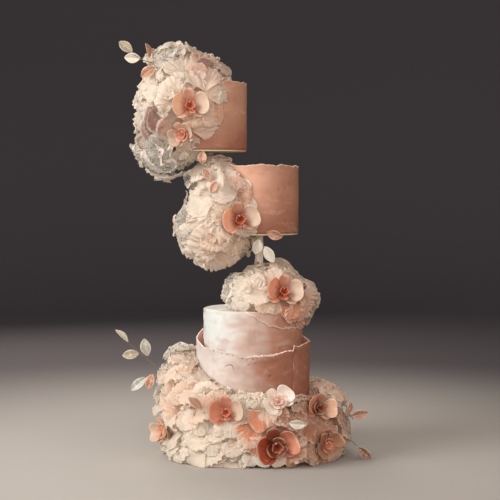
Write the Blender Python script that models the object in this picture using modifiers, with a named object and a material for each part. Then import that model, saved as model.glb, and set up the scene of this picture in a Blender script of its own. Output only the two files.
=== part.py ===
"""A tiered wedding cake whose two upper tiers float beside the lower stack.

The cake stands on z = 0 with the axis of its lower stack on z, and its front looks along -Y. Lengths are in
metres and angles in degrees. An azimuth turns about z: 0 is the right side, -90 the front, 180 the left.
The nodes are the four tiers, the torn sheets of icing wrapped round them, the boards and wrapped posts that
carry the floating tiers, the gathered rice-paper ruffles, the moth orchids, and the leaves on their wires.
"""

import math

import bmesh
import bpy
from mathutils import Matrix, Vector, noise
from mathutils.bvhtree import BVHTree

# Clearance between pieces that rest on each other, and what a ruffle keeps to the tier or post that it covers.
GAP = 0.0004
RUFFLE_CLEARANCE = 0.0007

# Tiers: where their axes stand, their radii and their heights.
LOWER_RADIUS = 0.1125
LOWER_TOP = 0.205
UPPER_RADIUS = 0.1005
UPPER_TOP = 0.299
FLOATING_RADIUS = 0.0742
FLOATING_HEIGHT = 0.129
MID_X = 0.0156
MID_BOTTOM = 0.4515
TOP_X = -0.089
TOP_BOTTOM = 0.618
TIER_SEGMENTS = 48

# The icing sheets wrapped round the tiers.
SHEET_THICKNESS = 0.0022
SHEET_TEAR = 0.0022
SHEET_GAP = 0.0003
FLOATING_SHEET_RISE = 0.006

# Boards under the floating tiers, and the posts wrapped in paper that carry them.
BOARD_RADIUS = 0.0752
BOARD_THICKNESS = 0.003
POST_RADIUS = 0.0085
POST_SEGMENTS = 12
MID_POST_X = 0.0125
TOP_POST_BOTTOM = 0.490

# Height of the torn rim of the lower sheet at azimuths along it. It starts and ends at the overlap.
OVERLAP_AZIMUTH = -47
LOWER_RIM = {
    -47: 0.232,
    0: 0.231,
    45: 0.240,
    90: 0.250,
    135: 0.258,
    180: 0.240,
    225: 0.225,
    270: 0.211,
    313: 0.221,
}
# The sheet on the upper tier covers its right side and hangs to this height.
UPPER_SHEET_FROM = -100
UPPER_SHEET_TO = 110
UPPER_SHEET_BOTTOM = 0.2615

# Ruffle masses: centre, half depth, divisions round and down, and how far the mass reaches in the front view at
# angles from +X towards +Z.
RUFFLES = {
    "ruffle_top": ((-0.136, -0.008, 0.694), 0.104, 28, 15),
    "ruffle_mid": ((-0.067, -0.018, 0.477), 0.090, 28, 14),
    "ruffle_cap": ((0.031, -0.020, 0.319), 0.088, 26, 12),
}
REACH = {
    "ruffle_top": {
        -90: 0.100, -60: 0.092, -30: 0.090, 0: 0.090, 30: 0.104, 55: 0.122, 80: 0.120, 98: 0.132, 117: 0.140,
        138: 0.100, 160: 0.094, 190: 0.096, 212: 0.110, 232: 0.136, 250: 0.140, 264: 0.122, 270: 0.100,
    },
    "ruffle_mid": {
        -90: 0.092, -60: 0.084, -30: 0.084, 0: 0.092, 25: 0.102, 50: 0.108, 75: 0.112, 92: 0.118, 110: 0.114,
        124: 0.108, 143: 0.060, 162: 0.074, 190: 0.090, 215: 0.095, 240: 0.094, 258: 0.099, 270: 0.092,
    },
    "ruffle_cap": {
        -90: 0.042, -70: 0.046, -45: 0.086, -18: 0.094, 0: 0.100, 28: 0.074, 70: 0.073, 90: 0.062, 128: 0.066,
        154: 0.093, 172: 0.094, 195: 0.082, 230: 0.048, 270: 0.042,
    },
}
FRILL_DEPTH = 0.07
FRILL_PITCH = 2.6

# The ruffles round the foot: outer radius and top height at azimuths round the cake, and the corners of their
# section, each as the share of the way from the stack to the outer edge and the share of the height.
FOOT_OUTER = {
    -90: 0.160, -45: 0.178, 0: 0.193, 45: 0.182, 90: 0.168, 135: 0.182, 165: 0.194, 200: 0.188, 225: 0.176,
    270: 0.160,
}
FOOT_TOP = {
    -90: 0.143, -45: 0.138, 0: 0.142, 45: 0.152, 90: 0.172, 135: 0.205, 165: 0.222, 190: 0.216, 225: 0.172,
    270: 0.143,
}
FOOT_SECTION = ((0, 0), (0.80, 0), (0.96, 0.18), (1.0, 0.48), (0.95, 0.76), (0.60, 0.98), (0, 0.90))
FOOT_SEGMENTS = 44
FOOT_FRILL = 0.009

# Orchids: the ruffle each sits on, a point inside it and the azimuth along which the flower lies outside that
# point, the way it faces as azimuth and elevation, its width, its roll about that way, and how far it closes.
ORCHIDS = {
    "orchid_top_upper": ("ruffle_top", (-0.123, 0, 0.702), -90, (-80, 2), 0.072, 4, 0.34),
    "orchid_top_lower": ("ruffle_top", (-0.137, 0, 0.646), -90, (-112, -8), 0.056, 24, 0.60),
    "orchid_top_back": ("ruffle_top", (-0.150, 0, 0.690), 90, (104, 8), 0.072, -8, 0.34),
    "orchid_mid": ("ruffle_mid", (-0.026, 0, 0.481), -90, (-78, -2), 0.074, 12, 0.34),
    "orchid_mid_back": ("ruffle_mid", (-0.072, 0, 0.488), 90, (105, -4), 0.070, -14, 0.34),
    "orchid_cap": ("ruffle_cap", (0.060, 0, 0.338), -90, (-76, 14), 0.072, -6, 0.40),
    "orchid_foot_left": ("ruffle_foot", (-0.052, 0, 0.110), -90, (-94, 6), 0.068, 6, 0.34),
    "orchid_foot_right": ("ruffle_foot", (0.131, 0, 0.108), -90, (-66, 10), 0.062, -14, 0.60),
    "orchid_foot_centre": ("ruffle_foot", (0.046, 0, 0.044), -90, (-84, -2), 0.084, 18, 0.50),
    "orchid_foot_pale": ("ruffle_foot", (0.050, 0, 0.129), -90, (-86, 22), 0.064, 40, 0.50),
    "orchid_foot_low": ("ruffle_foot", (0.146, 0, 0.036), -90, (-62, 0), 0.060, 30, 0.60),
    "orchid_foot_side": ("ruffle_foot", (-0.120, -0.020, 0.054), -155, (-148, 0), 0.062, 20, 0.60),
    "orchid_foot_back": ("ruffle_foot", (0.075, 0, 0.096), 90, (72, 8), 0.074, -10, 0.34),
    "orchid_foot_back_left": ("ruffle_foot", (-0.090, 0, 0.128), 90, (118, 10), 0.070, 12, 0.40),
}
# Each petal of an orchid: where it points, half the angle it fills, and its share of the flower's radius.
PETALS = ((8, 42, 1.0), (172, 42, 1.0), (90, 26, 0.98), (216, 26, 0.92), (324, 26, 0.92))
PETAL_NOTCH = 0.40
ORCHID_RAYS = 28
PETAL_THICKNESS = 0.0018
# The lip's height as a share of the flower's width, how deep the flower sits in the ruffle, and its seat there.
LIP_SHARE = 0.16
ORCHID_SUNK = 0.006
SEAT_MARGIN = 0.0015
SEAT_DEPTH = 0.080
SEAT_SEGMENTS = 14

# Leaves: base point, where the tip points (degrees from +X towards +Z in the front view), the turn of the
# blade about its own midrib, its length and its width. A leaf over a ruffle is brought forward to lie on it.
LEAVES = {
    "leaf_top_1": ((-0.239, -0.050, 0.811), 142, 10, 0.034, 0.020),
    "leaf_top_2": ((-0.223, -0.045, 0.800), 178, -12, 0.033, 0.021),
    "leaf_top_3": ((-0.205, -0.052, 0.800), 106, 62, 0.030, 0.020),
    "leaf_top_4": ((-0.192, -0.064, 0.779), 214, 8, 0.034, 0.021),
    "leaf_link_1": ((-0.099, -0.048, 0.615), 268, 8, 0.026, 0.018),
    "leaf_link_2": ((-0.099, -0.052, 0.581), 308, 6, 0.032, 0.017),
    "leaf_link_3": ((-0.072, -0.056, 0.554), 246, 14, 0.024, 0.016),
    "leaf_mid_1": ((0.026, -0.088, 0.455), 345, 20, 0.034, 0.020),
    "leaf_mid_2": ((0.012, -0.062, 0.441), 256, -10, 0.032, 0.021),
    "leaf_mid_3": ((0.023, -0.062, 0.427), 299, 6, 0.038, 0.021),
    "leaf_left_1": ((-0.252, -0.026, 0.231), 136, 66, 0.036, 0.020),
    "leaf_left_2": ((-0.229, -0.034, 0.209), 187, 10, 0.035, 0.019),
    "leaf_left_3": ((-0.212, -0.030, 0.203), 102, -8, 0.037, 0.022),
    "leaf_left_4": ((-0.215, -0.040, 0.162), 222, 12, 0.041, 0.019),
    "leaf_left_5": ((-0.200, -0.048, 0.170), 252, 30, 0.034, 0.021),
    "leaf_foot_1": ((-0.098, -0.176, 0.121), 141, 16, 0.033, 0.018),
    "leaf_foot_2": ((0.068, -0.184, 0.094), 354, 18, 0.033, 0.020),
    "leaf_right_1": ((0.198, -0.052, 0.086), 12, 10, 0.033, 0.020),
    "leaf_right_2": ((0.188, -0.078, 0.094), 76, 36, 0.024, 0.016),
    "leaf_right_3": ((0.210, -0.071, 0.026), 318, 12, 0.034, 0.019),
}
LEAF_THICKNESS = 0.0014
LEAF_FOLD = 0.30
LEAF_SIDES = 8
LEAF_CLEARANCE = 0.0030

# Wires that carry the leaves, from the ruffle outwards.
STEM_RADIUS = 0.0010
STEMS = {
    "stem_top": (
        (-0.188, -0.088, 0.776), (-0.199, -0.075, 0.788), (-0.216, -0.058, 0.794), (-0.236, -0.054, 0.806)
    ),
    "stem_left": (
        (-0.194, -0.037, 0.182), (-0.210, -0.033, 0.196), (-0.226, -0.033, 0.209), (-0.249, -0.028, 0.228)
    ),
    "stem_right": ((0.188, -0.078, 0.044), (0.197, -0.074, 0.038), (0.207, -0.072, 0.029)),
}

COLOURS = {
    "icing_white": (0.80, 0.74, 0.68),
    "icing_blush": (0.62, 0.34, 0.24),
    "board": (0.45, 0.42, 0.34),
    "paper_wrap": (0.78, 0.70, 0.60),
    "rice_paper": (0.82, 0.70, 0.58),
    "orchid": (0.80, 0.50, 0.34),
    "leaf": (0.66, 0.48, 0.36),
    "wire": (0.30, 0.24, 0.16),
}


def clear_scene():
    for obj in list(bpy.data.objects):
        bpy.data.objects.remove(obj)


def make_collection(name):
    collection = bpy.data.collections.new(name)
    bpy.context.scene.collection.children.link(collection)
    return collection


def make_material(name, colour, roughness):
    material = bpy.data.materials.new(name)
    material.use_nodes = True
    shader = material.node_tree.nodes["Principled BSDF"]
    shader.inputs["Base Color"].default_value = (*colour, 1)
    shader.inputs["Roughness"].default_value = roughness
    shader.inputs["Metallic"].default_value = 0
    return material


def add_object(name, bm, slot):
    """The bmesh as a node of the cake, in the material named slot."""
    mesh = bpy.data.meshes.new(name)
    bm.to_mesh(mesh)
    bm.free()
    obj = bpy.data.objects.new(name, mesh)
    mesh.materials.append(MATERIALS[slot])
    CAKE.objects.link(obj)
    return obj


def add_cutter(name, bm):
    mesh = bpy.data.meshes.new(name)
    bm.to_mesh(mesh)
    bm.free()
    obj = bpy.data.objects.new(name, mesh)
    CUTTERS.objects.link(obj)
    obj.hide_render = True
    obj.display_type = "WIRE"
    return obj


def cut(obj, cutter):
    modifier = obj.modifiers.new("cut_" + cutter.name, "BOOLEAN")
    modifier.operation = "DIFFERENCE"
    modifier.object = cutter


def thicken(obj, thickness, offset):
    """Gives a surface a thickness: on its outer side with offset 1, and on both sides with offset 0."""
    modifier = obj.modifiers.new("thickness", "SOLIDIFY")
    modifier.thickness = thickness
    modifier.offset = offset


def cylinder(radius, low, high, x=0.0, y=0.0, segments=TIER_SEGMENTS):
    bm = bmesh.new()
    bmesh.ops.create_cone(
        bm, cap_ends=True, segments=segments, radius1=radius, radius2=radius, depth=high - low
    )
    bmesh.ops.translate(bm, verts=bm.verts, vec=(x, y, (low + high) / 2))
    return bm


def between_keys(keys, azimuth):
    """The value at an azimuth, eased from one key to the next."""
    angles = sorted(keys)
    low = max((a for a in angles if a <= azimuth), default=angles[0])
    high = min((a for a in angles if a > azimuth), default=low)
    if high == low:
        return keys[low]
    share = (azimuth - low) / (high - low)
    ease = (1 - math.cos(math.pi * share)) / 2
    return keys[low] + (keys[high] - keys[low]) * ease


def wound(azimuth, start):
    """The same azimuth, in the turn that begins at start."""
    return start + (azimuth - start) % 360


def tear(azimuth, seed):
    """How far a torn edge strays up or down at an azimuth, from -1 to 1."""
    angle = math.radians(azimuth)
    return 2 * noise.noise(Vector((4.5 * math.cos(angle), 4.5 * math.sin(angle), seed)))


def sheet(name, radius, x, bottom, top, start, end):
    """A sheet wrapped round a tier. bottom and top are functions that give its edges' heights at an azimuth."""
    steps = round(TIER_SEGMENTS * (end - start) / 360)
    bm = bmesh.new()
    first = bm.verts.new((1, 0, 0))
    second = bm.verts.new((1, 0, 1))
    edge = bm.edges.new((first, second))
    bmesh.ops.spin(
        bm, geom=[first, second, edge], axis=(0, 0, 1), cent=(0, 0, 0), angle=math.radians(end - start),
        steps=steps, use_merge=end - start >= 360,
    )
    inner = radius + SHEET_GAP
    for vert in bm.verts:
        azimuth = start + math.degrees(math.atan2(vert.co.y, vert.co.x)) % 360
        if end - start >= 360 or azimuth <= end + 1:
            angle = math.radians(azimuth)
            height = top(azimuth) if vert.co.z > 0.5 else bottom(azimuth)
            vert.co = (x + inner * math.cos(angle), inner * math.sin(angle), height)
    bmesh.ops.recalc_face_normals(bm, faces=bm.faces)
    face = next(iter(bm.faces))
    if (face.calc_center_median() - Vector((x, 0, 0))).to_2d().dot(face.normal.to_2d()) < 0:
        bmesh.ops.reverse_faces(bm, faces=bm.faces)
    thicken(add_object(name, bm, "icing_blush"), SHEET_THICKNESS, 1)


def lower_rim(azimuth):
    return between_keys(LOWER_RIM, wound(azimuth, OVERLAP_AZIMUTH)) + SHEET_TEAR * tear(azimuth, 1)


def upper_hem(azimuth):
    return UPPER_SHEET_BOTTOM + 1.5 * SHEET_TEAR * tear(azimuth, 2)


def make_stack():
    """The lower stack: two tiers, and the torn sheets wrapped round them."""
    add_object("tier_lower", cylinder(LOWER_RADIUS, 0, LOWER_TOP), "icing_white")
    add_object("tier_upper", cylinder(UPPER_RADIUS, LOWER_TOP + GAP, UPPER_TOP), "icing_white")
    sheet(
        "sheet_lower", LOWER_RADIUS, 0, lambda azimuth: 0, lower_rim, OVERLAP_AZIMUTH, OVERLAP_AZIMUTH + 360
    )
    sheet(
        "sheet_upper", UPPER_RADIUS, 0, upper_hem, lambda azimuth: UPPER_TOP, UPPER_SHEET_FROM, UPPER_SHEET_TO
    )


def make_floating_tier(prefix, x, bottom):
    """A floating tier on its board, with the sheet wrapped round it that rises past its top."""
    board_top = bottom - SHEET_GAP
    add_object(
        "board_" + prefix, cylinder(BOARD_RADIUS, board_top - BOARD_THICKNESS, board_top, x), "board"
    )
    top = bottom + FLOATING_HEIGHT
    add_object("tier_" + prefix, cylinder(FLOATING_RADIUS, bottom, top, x), "icing_blush")
    rim = top + FLOATING_SHEET_RISE
    sheet(
        "sheet_" + prefix, FLOATING_RADIUS, x,
        lambda azimuth: bottom, lambda azimuth: rim + SHEET_TEAR * tear(azimuth, x), 0, 360,
    )


def make_posts():
    board_mid = MID_BOTTOM - SHEET_GAP - BOARD_THICKNESS
    board_top = TOP_BOTTOM - SHEET_GAP - BOARD_THICKNESS
    posts = {
        "post_mid": (UPPER_TOP + GAP, board_mid - GAP, MID_POST_X),
        "post_top": (TOP_POST_BOTTOM, board_top - GAP, TOP_X),
    }
    for name, (low, high, x) in posts.items():
        add_object(name, cylinder(POST_RADIUS, low, high, x, segments=POST_SEGMENTS), "paper_wrap")


def frill(where, seed):
    """Ridges and creases of gathered paper, from about -1 to 1."""
    return 1 - 4 * abs(noise.noise(FRILL_PITCH * where + Vector((seed, 0, 0))))


def ruffle_form(name):
    """The outer shape of a ruffle mass."""
    centre, depth, around, down = RUFFLES[name]
    seed = 10 * sorted(RUFFLES).index(name)
    bm = bmesh.new()
    bmesh.ops.create_uvsphere(bm, u_segments=around, v_segments=down, radius=1)
    for vert in bm.verts:
        way = vert.co.normalized()
        swell = 1 + FRILL_DEPTH * frill(way, seed)
        reach = between_keys(REACH[name], wound(math.degrees(math.atan2(way.z, way.x)), -90)) * swell
        half = Vector((reach, depth * swell, reach))
        vert.co = Vector(centre) + way * half
    return bm


def clear_of_tier(ruffle, x, bottom, top):
    radius = FLOATING_RADIUS + SHEET_GAP + SHEET_THICKNESS + RUFFLE_CLEARANCE
    cut(ruffle, add_cutter(ruffle.name + "_tier_space", cylinder(radius, bottom, top, x)))


def clear_of_post(ruffle, x, bottom, top):
    cutter = cylinder(POST_RADIUS + RUFFLE_CLEARANCE, bottom, top, x, segments=POST_SEGMENTS)
    cut(ruffle, add_cutter(f"{ruffle.name}_post_space_{round(1000 * x)}", cutter))


def make_ruffles():
    """The ruffle masses on the tiers, cut round the tiers and posts that they cover."""
    ruffles = {name: add_object(name, ruffle_form(name), "rice_paper") for name in RUFFLES}
    mid_top = MID_BOTTOM + FLOATING_HEIGHT + FLOATING_SHEET_RISE + 2 * SHEET_TEAR
    top_top = TOP_BOTTOM + FLOATING_HEIGHT + FLOATING_SHEET_RISE + 2 * SHEET_TEAR
    board_space = BOARD_THICKNESS + 4 * GAP
    clear_of_tier(ruffles["ruffle_top"], TOP_X, TOP_BOTTOM - board_space, top_top)
    clear_of_post(ruffles["ruffle_top"], TOP_X, TOP_POST_BOTTOM - GAP, TOP_BOTTOM)
    clear_of_tier(ruffles["ruffle_mid"], MID_X, MID_BOTTOM - board_space, mid_top)
    clear_of_post(ruffles["ruffle_mid"], MID_POST_X, UPPER_TOP, MID_BOTTOM)
    clear_of_post(ruffles["ruffle_mid"], TOP_X, TOP_POST_BOTTOM - GAP, TOP_BOTTOM)
    upper_space = UPPER_RADIUS + SHEET_GAP + SHEET_THICKNESS + RUFFLE_CLEARANCE
    cap = ruffles["ruffle_cap"]
    cut(cap, add_cutter("ruffle_cap_tier_space", cylinder(upper_space, LOWER_TOP, UPPER_TOP + 0.003)))
    clear_of_post(cap, MID_POST_X, UPPER_TOP - 0.002, MID_BOTTOM)
    ruffles["ruffle_foot"] = make_foot()
    return ruffles


def make_foot():
    """The ruffles round the foot: a section spun round the stack, then shaped at each azimuth."""
    inner = LOWER_RADIUS + SHEET_GAP + SHEET_THICKNESS + RUFFLE_CLEARANCE
    bm = bmesh.new()
    corners = [bm.verts.new((1 + share, 0, height)) for share, height in FOOT_SECTION]
    edges = [bm.edges.new((a, b)) for a, b in zip(corners, corners[1:] + corners[:1])]
    bmesh.ops.spin(
        bm, geom=corners + edges, axis=(0, 0, 1), cent=(0, 0, 0), angle=2 * math.pi,
        steps=FOOT_SEGMENTS, use_merge=True,
    )
    bmesh.ops.remove_doubles(bm, verts=bm.verts, dist=0.0001)
    for vert in bm.verts:
        angle = math.atan2(vert.co.y, vert.co.x)
        azimuth = wound(math.degrees(angle), -90)
        share = vert.co.to_2d().length - 1
        height = vert.co.z
        outward = Vector((math.cos(angle), math.sin(angle), 0))
        fold = FOOT_FRILL * frill(0.9 * outward + Vector((0, 0, 0.7 * height)), 50) if share > 0.1 else 0
        radius = inner + share * (between_keys(FOOT_OUTER, azimuth) - inner) + share * fold
        top = between_keys(FOOT_TOP, azimuth) + (fold if height > 0.5 else 0)
        vert.co = outward * radius + Vector((0, 0, height * top))
    bmesh.ops.recalc_face_normals(bm, faces=bm.faces)
    return add_object("ruffle_foot", bm, "rice_paper")


def direction(azimuth, elevation):
    a, e = math.radians(azimuth), math.radians(elevation)
    return Vector((math.cos(a) * math.cos(e), math.sin(a) * math.cos(e), math.sin(e)))


def petal_reach(angle):
    """The flower's outline: its radius at an angle, as a share of the longest petal."""
    reach = PETAL_NOTCH
    for middle, half, length in PETALS:
        off = (angle - middle + 180) % 360 - 180
        reach = max(reach, length * math.sqrt(max(0, 1 - (off / half) ** 2)))
    return reach


def orchid_mesh(width, close):
    """A moth orchid facing +Z: petals as lobes of one cupped blade, with the lip standing up in the middle."""
    bm = bmesh.new()
    bmesh.ops.create_circle(bm, cap_ends=True, cap_tris=True, segments=ORCHID_RAYS, radius=1)
    spokes = [e for e in bm.edges if min(v.co.length for v in e.verts) < 0.5]
    bmesh.ops.subdivide_edges(bm, edges=spokes, cuts=1, use_grid_fill=False)
    for vert in bm.verts:
        share = vert.co.length
        angle = math.degrees(math.atan2(vert.co.y, vert.co.x))
        reach = share * petal_reach(angle) * width / 2 if share > 0.1 else 0
        rise = close * reach**2 / (width / 2)
        lip = LIP_SHARE * width if share < 0.1 else 0
        turn = math.radians(angle)
        vert.co = (reach * math.cos(turn), reach * math.sin(turn), rise + lip)
    return bm


def place(obj, location, forward, roll=0.0):
    """Turns the object so that its +Z looks forward with its +Y up, rolled about that way."""
    right = Vector((0, 0, 1)).cross(forward).normalized()
    up = forward.cross(right)
    turn = Matrix((right, up, forward)).transposed().to_4x4()
    obj.matrix_world = Matrix.Translation(location) @ turn @ Matrix.Rotation(math.radians(roll), 4, "Z")


def make_orchids(ruffles):
    """Orchids set into the ruffles: each is laid on the surface, in a shallow seat cut for it."""
    seats = []
    trees = {name: BVHTree.FromObject(obj, graph()) for name, obj in ruffles.items()}
    for name, (host, inside, side, way, width, roll, close) in ORCHIDS.items():
        outward = direction(*way)
        level = direction(side, 0)
        surface = trees[host].ray_cast(Vector(inside) + level, -level)[0]
        seat = surface - ORCHID_SUNK * outward
        obj = add_object(name, orchid_mesh(width, close), "orchid")
        thicken(obj, PETAL_THICKNESS, 1)
        place(obj, seat, outward, roll)
        seats.append((ruffles[host], name, seat, outward, width))
    for ruffle, name, seat, outward, width in seats:
        floor = -PETAL_THICKNESS - SEAT_MARGIN
        space = cylinder(width / 2 + SEAT_MARGIN, floor, SEAT_DEPTH, segments=SEAT_SEGMENTS)
        cutter = add_cutter(name + "_seat", space)
        place(cutter, seat, outward)
        cut(ruffle, cutter)


def leaf_mesh(length, width):
    """An almond-shaped blade from the origin along +X, folded a little at its midrib, facing +Z."""
    bm = bmesh.new()
    bmesh.ops.create_circle(bm, cap_ends=True, cap_tris=True, segments=LEAF_SIDES, radius=1)
    for vert in bm.verts:
        along = (vert.co.x + 1) / 2
        across = math.copysign(math.sin(math.pi * along) ** 0.9, vert.co.y) if abs(vert.co.y) > 0.01 else 0
        side = across * width / 2
        vert.co = (along * length, side, LEAF_FOLD * abs(side))
    return bm


def trees_of_all():
    return [BVHTree.FromObject(obj, graph()) for obj in CAKE.objects]


def forward_by(trees, points, clearance):
    """How far the points must come forward to be clear of everything behind them."""
    need = 0
    for point in points:
        for tree in trees:
            hit = tree.ray_cast(Vector((point.x, -1, point.z)), Vector((0, 1, 0)))[0]
            if hit and hit.y < 0:
                need = max(need, point.y + clearance - hit.y)
    return need


def make_leaves():
    trees = trees_of_all()
    for name, (base, tip, turn, length, width) in LEAVES.items():
        upright = Matrix.Rotation(math.radians(90), 4, "X")
        pointing = Matrix.Rotation(math.radians(tip), 4, "Z")
        turned = Matrix.Rotation(math.radians(turn), 4, "X")
        where = Matrix.Translation(base) @ upright @ pointing @ turned
        bm = leaf_mesh(length, width)
        outline = [where @ (share * v.co) for v in bm.verts for share in (0.3, 0.65, 1)]
        forward = forward_by(trees, outline, LEAF_CLEARANCE)
        obj = add_object(name, bm, "leaf")
        thicken(obj, LEAF_THICKNESS, 0)
        obj.matrix_world = Matrix.Translation((0, -forward, 0)) @ where


def make_stems():
    trees = trees_of_all()
    for name, points in STEMS.items():
        points = [Vector(point) for point in points]
        points = [p - Vector((0, forward_by(trees, [p], 2.5 * STEM_RADIUS), 0)) for p in points]
        curve = bpy.data.curves.new(name, "CURVE")
        curve.dimensions = "3D"
        curve.bevel_depth = STEM_RADIUS
        curve.bevel_resolution = 1
        curve.use_fill_caps = True
        spline = curve.splines.new("POLY")
        spline.points.add(len(points) - 1)
        for point, place_at in zip(spline.points, points):
            point.co = (*place_at, 1)
        obj = bpy.data.objects.new(name, curve)
        curve.materials.append(MATERIALS["wire"])
        CAKE.objects.link(obj)


def graph():
    bpy.context.view_layer.update()
    return bpy.context.evaluated_depsgraph_get()


clear_scene()
CAKE = make_collection("wedding_cake")
CUTTERS = make_collection("cutters")
MATERIALS = {name: make_material(name, colour, 0.6) for name, colour in COLOURS.items()}
make_stack()
make_floating_tier("mid", MID_X, MID_BOTTOM)
make_floating_tier("top", TOP_X, TOP_BOTTOM)
make_posts()
make_orchids(make_ruffles())
make_leaves()
make_stems()
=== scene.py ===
"""The looks of a tiered wedding cake: torn icing, gathered rice paper, moth orchids and wired leaves.

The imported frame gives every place. Lengths are in metres and angles in degrees. The cake stands on z = 0 and
its front looks along -Y. An azimuth turns about z: 0 is the right side, -90 the front, 180 the left.
"""

import math
import random

import bmesh
import bpy
from mathutils import Matrix, Vector, noise
from mathutils.bvhtree import BVHTree


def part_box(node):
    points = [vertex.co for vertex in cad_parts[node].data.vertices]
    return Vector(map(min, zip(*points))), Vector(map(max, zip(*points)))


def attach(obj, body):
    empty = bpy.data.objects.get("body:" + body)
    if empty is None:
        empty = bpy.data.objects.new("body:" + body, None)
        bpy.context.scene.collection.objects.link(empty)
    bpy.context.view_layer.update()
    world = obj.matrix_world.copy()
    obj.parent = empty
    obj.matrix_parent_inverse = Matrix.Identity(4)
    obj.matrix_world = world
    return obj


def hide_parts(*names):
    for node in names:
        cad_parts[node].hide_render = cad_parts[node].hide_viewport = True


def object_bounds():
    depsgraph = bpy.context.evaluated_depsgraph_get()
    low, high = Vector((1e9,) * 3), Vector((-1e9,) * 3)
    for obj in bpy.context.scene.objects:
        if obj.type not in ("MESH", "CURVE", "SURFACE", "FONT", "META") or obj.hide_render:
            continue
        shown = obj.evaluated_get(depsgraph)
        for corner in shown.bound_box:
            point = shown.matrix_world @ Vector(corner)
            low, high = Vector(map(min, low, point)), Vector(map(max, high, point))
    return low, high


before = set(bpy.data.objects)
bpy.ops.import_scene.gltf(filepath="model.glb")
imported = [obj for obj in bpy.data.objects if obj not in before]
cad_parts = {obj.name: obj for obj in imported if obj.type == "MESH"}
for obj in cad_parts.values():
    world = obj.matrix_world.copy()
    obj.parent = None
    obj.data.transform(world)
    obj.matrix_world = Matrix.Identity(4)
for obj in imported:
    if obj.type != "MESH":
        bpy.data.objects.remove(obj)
CAD_BOX = [list(corner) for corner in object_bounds()]


def tone(red, green, blue):
    """A colour as it looks on a screen, 0 to 255, in the linear values that shaders use."""
    shares = (value / 255 for value in (red, green, blue))
    return Vector([s / 12.92 if s <= 0.04045 else ((s + 0.055) / 1.055) ** 2.4 for s in shares])


# Icing.
WHITE_ICING = tone(212, 213, 208)
PINK_ICING = tone(210, 194, 186)
BLUSH_ICING = tone(203, 154, 130)
# The deep end of the icing's change from left to right: a blush in the icing, deepened with painted shade.
SHADED_BLUSH = tone(156, 103, 81)
DARKER_FOOT_TONE = tone(146, 88, 66)
GREY_PINK = tone(184, 164, 154)
# Painted shade under the upper sheet's hem and on the upper tier's right.
UNDER_HEM_SHADE = tone(174, 124, 102)
TORN_EDGE = tone(248, 232, 214)
# Painted shade inside dents, holes and cracks in the icing.
PAINTED_PIT_SHADE = tone(120, 72, 56)
# Rice paper.
CREAM = tone(254, 248, 240)
IVORY = tone(250, 246, 238)
PEACH = tone(252, 232, 217)
CORAL = tone(240, 166, 130)
MAUVE = tone(146, 100, 92)
ROSE = tone(232, 196, 182)
GREY_NET = tone(248, 246, 240)
SHEER = tone(240, 200, 176)
WARM_PAPER = tone(249, 220, 201)
# Partly a painted highlight on the thin rims of the sheets.
LIT_PAPER_RIM = tone(255, 249, 238)
BEIGE = tone(206, 158, 126)
# Deep rust laid between the flowers on the foot's right as painted shade.
SHADED_RUST = tone(178, 112, 80)
# Orchids and leaves.
PETAL_CREAM = tone(232, 210, 189)
PETAL_PEACH = tone(252, 218, 190)
PETAL_CORAL = tone(244, 184, 152)
PETAL_APRICOT = tone(253, 204, 172)
PETAL_DEEP = tone(232, 164, 134)
PETAL_IN_SHADE = tone(190, 90, 58)
PETAL_RIM = tone(253, 234, 212)
HEART_CORAL = tone(202, 118, 88)
HEART_DEEP = tone(96, 28, 14)
LIP_CORAL = tone(170, 78, 50)
LIP_PINK = tone(238, 170, 142)
PALE_GOLD = tone(160, 146, 124)
LEAF_CREAM = tone(206, 198, 184)
LEAF_PEACH = tone(168, 112, 86)
LEAF_GREY = tone(160, 152, 141)
LEAF_WHITE = tone(164, 165, 158)
LEAF_ROSE = tone(161, 112, 88)
# A leaf tone darkened as painted shade, for a leaf on the shaded right.
LEAF_IN_SHADE = tone(136, 90, 70)
LEAF_RIM = tone(240, 228, 208)

# Sizes of the icing work that the frame doesn't hold.
SHEET_THICKNESS = 0.0022
SHEET_TEAR = 0.0022
FINE_TEAR = 0.0009
TIER_EDGE = 0.004
OVERLAP_AZIMUTH = -47
UNDERLAP = 9
UPPER_SHEET_FROM = -100
UPPER_SHEET_TO = 110
# Height of the torn hem of the upper sheet at azimuths along it.
UPPER_HEM = {-100: 0.2975, -90: 0.2900, -80: 0.2790, -71: 0.2690, -50: 0.2650, -24: 0.2600, 40: 0.2615, 110: 0.2615}
# Height of the torn rim of the lower sheet at azimuths along it. It starts and ends at the overlap.
LOWER_RIM = {
    -47: 0.232,
    0: 0.231,
    45: 0.240,
    90: 0.250,
    135: 0.258,
    180: 0.240,
    225: 0.225,
    270: 0.211,
    313: 0.221,
}


def smooth(low, high, value):
    """0 below low, 1 above high, eased between them."""
    share = min(1, max(0, (value - low) / (high - low)))
    return share * share * (3 - 2 * share)


def mix(first, second, share):
    return first.lerp(second, min(1, max(0, share)))


def direction(azimuth, elevation=0):
    a, e = math.radians(azimuth), math.radians(elevation)
    return Vector((math.cos(a) * math.cos(e), math.sin(a) * math.cos(e), math.sin(e)))


def between_keys(keys, azimuth):
    """The value at an azimuth, eased from one key to the next."""
    angles = sorted(keys)
    low = max((a for a in angles if a <= azimuth), default=angles[0])
    high = min((a for a in angles if a > azimuth), default=low)
    if high == low:
        return keys[low]
    ease = (1 - math.cos(math.pi * (azimuth - low) / (high - low))) / 2
    return keys[low] + (keys[high] - keys[low]) * ease


def wound(azimuth, start):
    """The same azimuth, in the turn that begins at start."""
    return start + (azimuth - start) % 360


def round_noise(azimuth, pitch, seed, height=0.0):
    """Noise round a tier that closes on itself: pitch is how fast it changes."""
    angle = math.radians(azimuth)
    return noise.noise(Vector((pitch * math.cos(angle), pitch * math.sin(angle), seed + height)))


def tear(azimuth, seed):
    """How far a torn edge strays up or down at an azimuth, from -1 to 1."""
    return 2 * round_noise(azimuth, 4.5, seed)


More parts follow.
